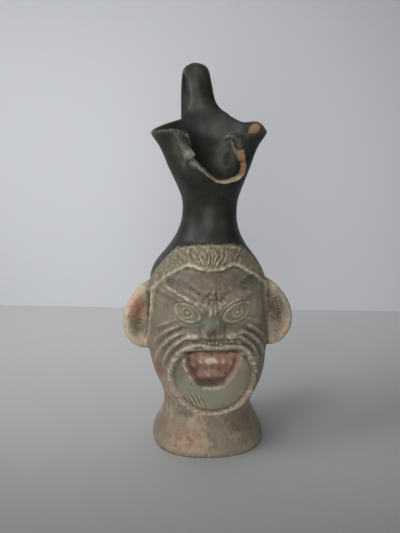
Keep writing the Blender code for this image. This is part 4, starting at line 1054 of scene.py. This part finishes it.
# Broken clay: porous, orange where the break is clean, cream and grey where dirt has dried on
BROKEN_LAYERS = (
    ("glazed", 4, 0.35, 0.65, 0, 0.5, "#8a6448"),
    ("creamed", 2.6, 0.4, 0.55, 0.2, 0.9, "#c4b494"),
    ("dusted", 1.2, 0.3, 0.6, 0.75, 1, "#77736a"),
)
broken.use_nodes = True
tree = broken.node_tree
tree.nodes.clear()
place = node(tree, "TexCoord", {}).outputs["Object"]
colour = lay(tree, (*linear("#75563f"), 1), BROKEN_LAYERS)
grain = node(tree, "TexNoise", {"Vector": place, "Scale": 1 / (0.7 * MM), "Detail": 4}).outputs[0]
bump = node(tree, "Bump", {"Strength": 0.7, "Distance": 0.5 * MM, "Height": grain}).outputs[0]
surface = node(tree, "BsdfPrincipled", {"Base Color": colour, "Roughness": 0.85, "Normal": bump})
node(tree, "OutputMaterial", {"Surface": surface.outputs[0]})

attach(jug, "root")
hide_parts("oinochoe")

# Room
# A pale table, and a pale wall 25 cm behind the jug and nearer on the right. Large soft lamps light them from
# above and the left, and the jug weakly from the front.
WALL_LEFT = (-1.6, 0.447)
WALL_RIGHT = (1.6, 0.044)


def sheet(name, corners, colour):
    """A painted sheet, clear from behind so that the jug shows from every side."""
    flat = bpy.data.meshes.new(name)
    flat.from_pydata(corners, [], [(0, 1, 2, 3)])
    paint = bpy.data.materials.new(name + "_paint")
    paint.use_nodes = True
    tree = paint.node_tree
    tree.nodes.clear()
    surface = node(tree, "BsdfPrincipled", {"Base Color": (*linear(colour), 1), "Roughness": 0.8})
    behind = node(tree, "NewGeometry", {}).outputs["Backfacing"]
    clear = node(tree, "BsdfTransparent", {})
    shown = node(tree, "MixShader", {0: behind, 1: surface.outputs[0], 2: clear.outputs[0]})
    node(tree, "OutputMaterial", {"Surface": shown.outputs[0]})
    flat.materials.append(paint)
    placed(name, flat)


def soft_light(place, target, size, spread, power):
    """A square lamp in metres and watts that shines only within its spread in degrees."""
    lamp = placed("soft_light", bpy.data.lights.new("soft_light", "AREA"))
    lamp.data.energy = power
    lamp.data.size = size
    lamp.data.spread = radians(spread)
    lamp.location = place
    lamp.rotation_euler = (Vector(target) - Vector(place)).to_track_quat("-Z", "Y").to_euler()


sheet("floor", [(-1.6, -1.6, 0), (1.6, -1.6, 0), (1.6, 0.9, 0), (-1.6, 0.9, 0)], "#b4b5b6")
sheet("wall", [(*WALL_LEFT, -0.1), (*WALL_RIGHT, -0.1), (*WALL_RIGHT, 1.6), (*WALL_LEFT, 1.6)], "#b8babd")

world = bpy.data.worlds.new("room")
bpy.context.scene.world = world
world.use_nodes = True
glow = world.node_tree.nodes["Background"].inputs
glow["Color"].default_value = (0.95, 0.98, 1, 1)
glow["Strength"].default_value = 0.055

# Over the table, at the wall, across the table, and at the jug from above, in front and the right
soft_light((0, 0.1, 0.75), (0, 0.12, 0), 0.4, 120, 0.34)
soft_light((-0.6, -0.1, 0.4), (-0.05, 0.24, 0.12), 0.4, 60, 0.5)
soft_light((-0.55, 0.05, 0.35), (-0.1, 0.25, 0.02), 0.4, 80, 0.32)
soft_light((-0.3, -0.4, 0.7), (0, 0, 0.15), 0.3, 40, 0.1)
soft_light((-0.1, -0.6, 0.12), (0, 0, 0.1), 0.6, 50, 0.64)
soft_light((0.4, -0.36, 0.16), (0, 0, 0.08), 0.3, 30, 0.03)
bpy.context.scene.view_settings.view_transform = "Standard"
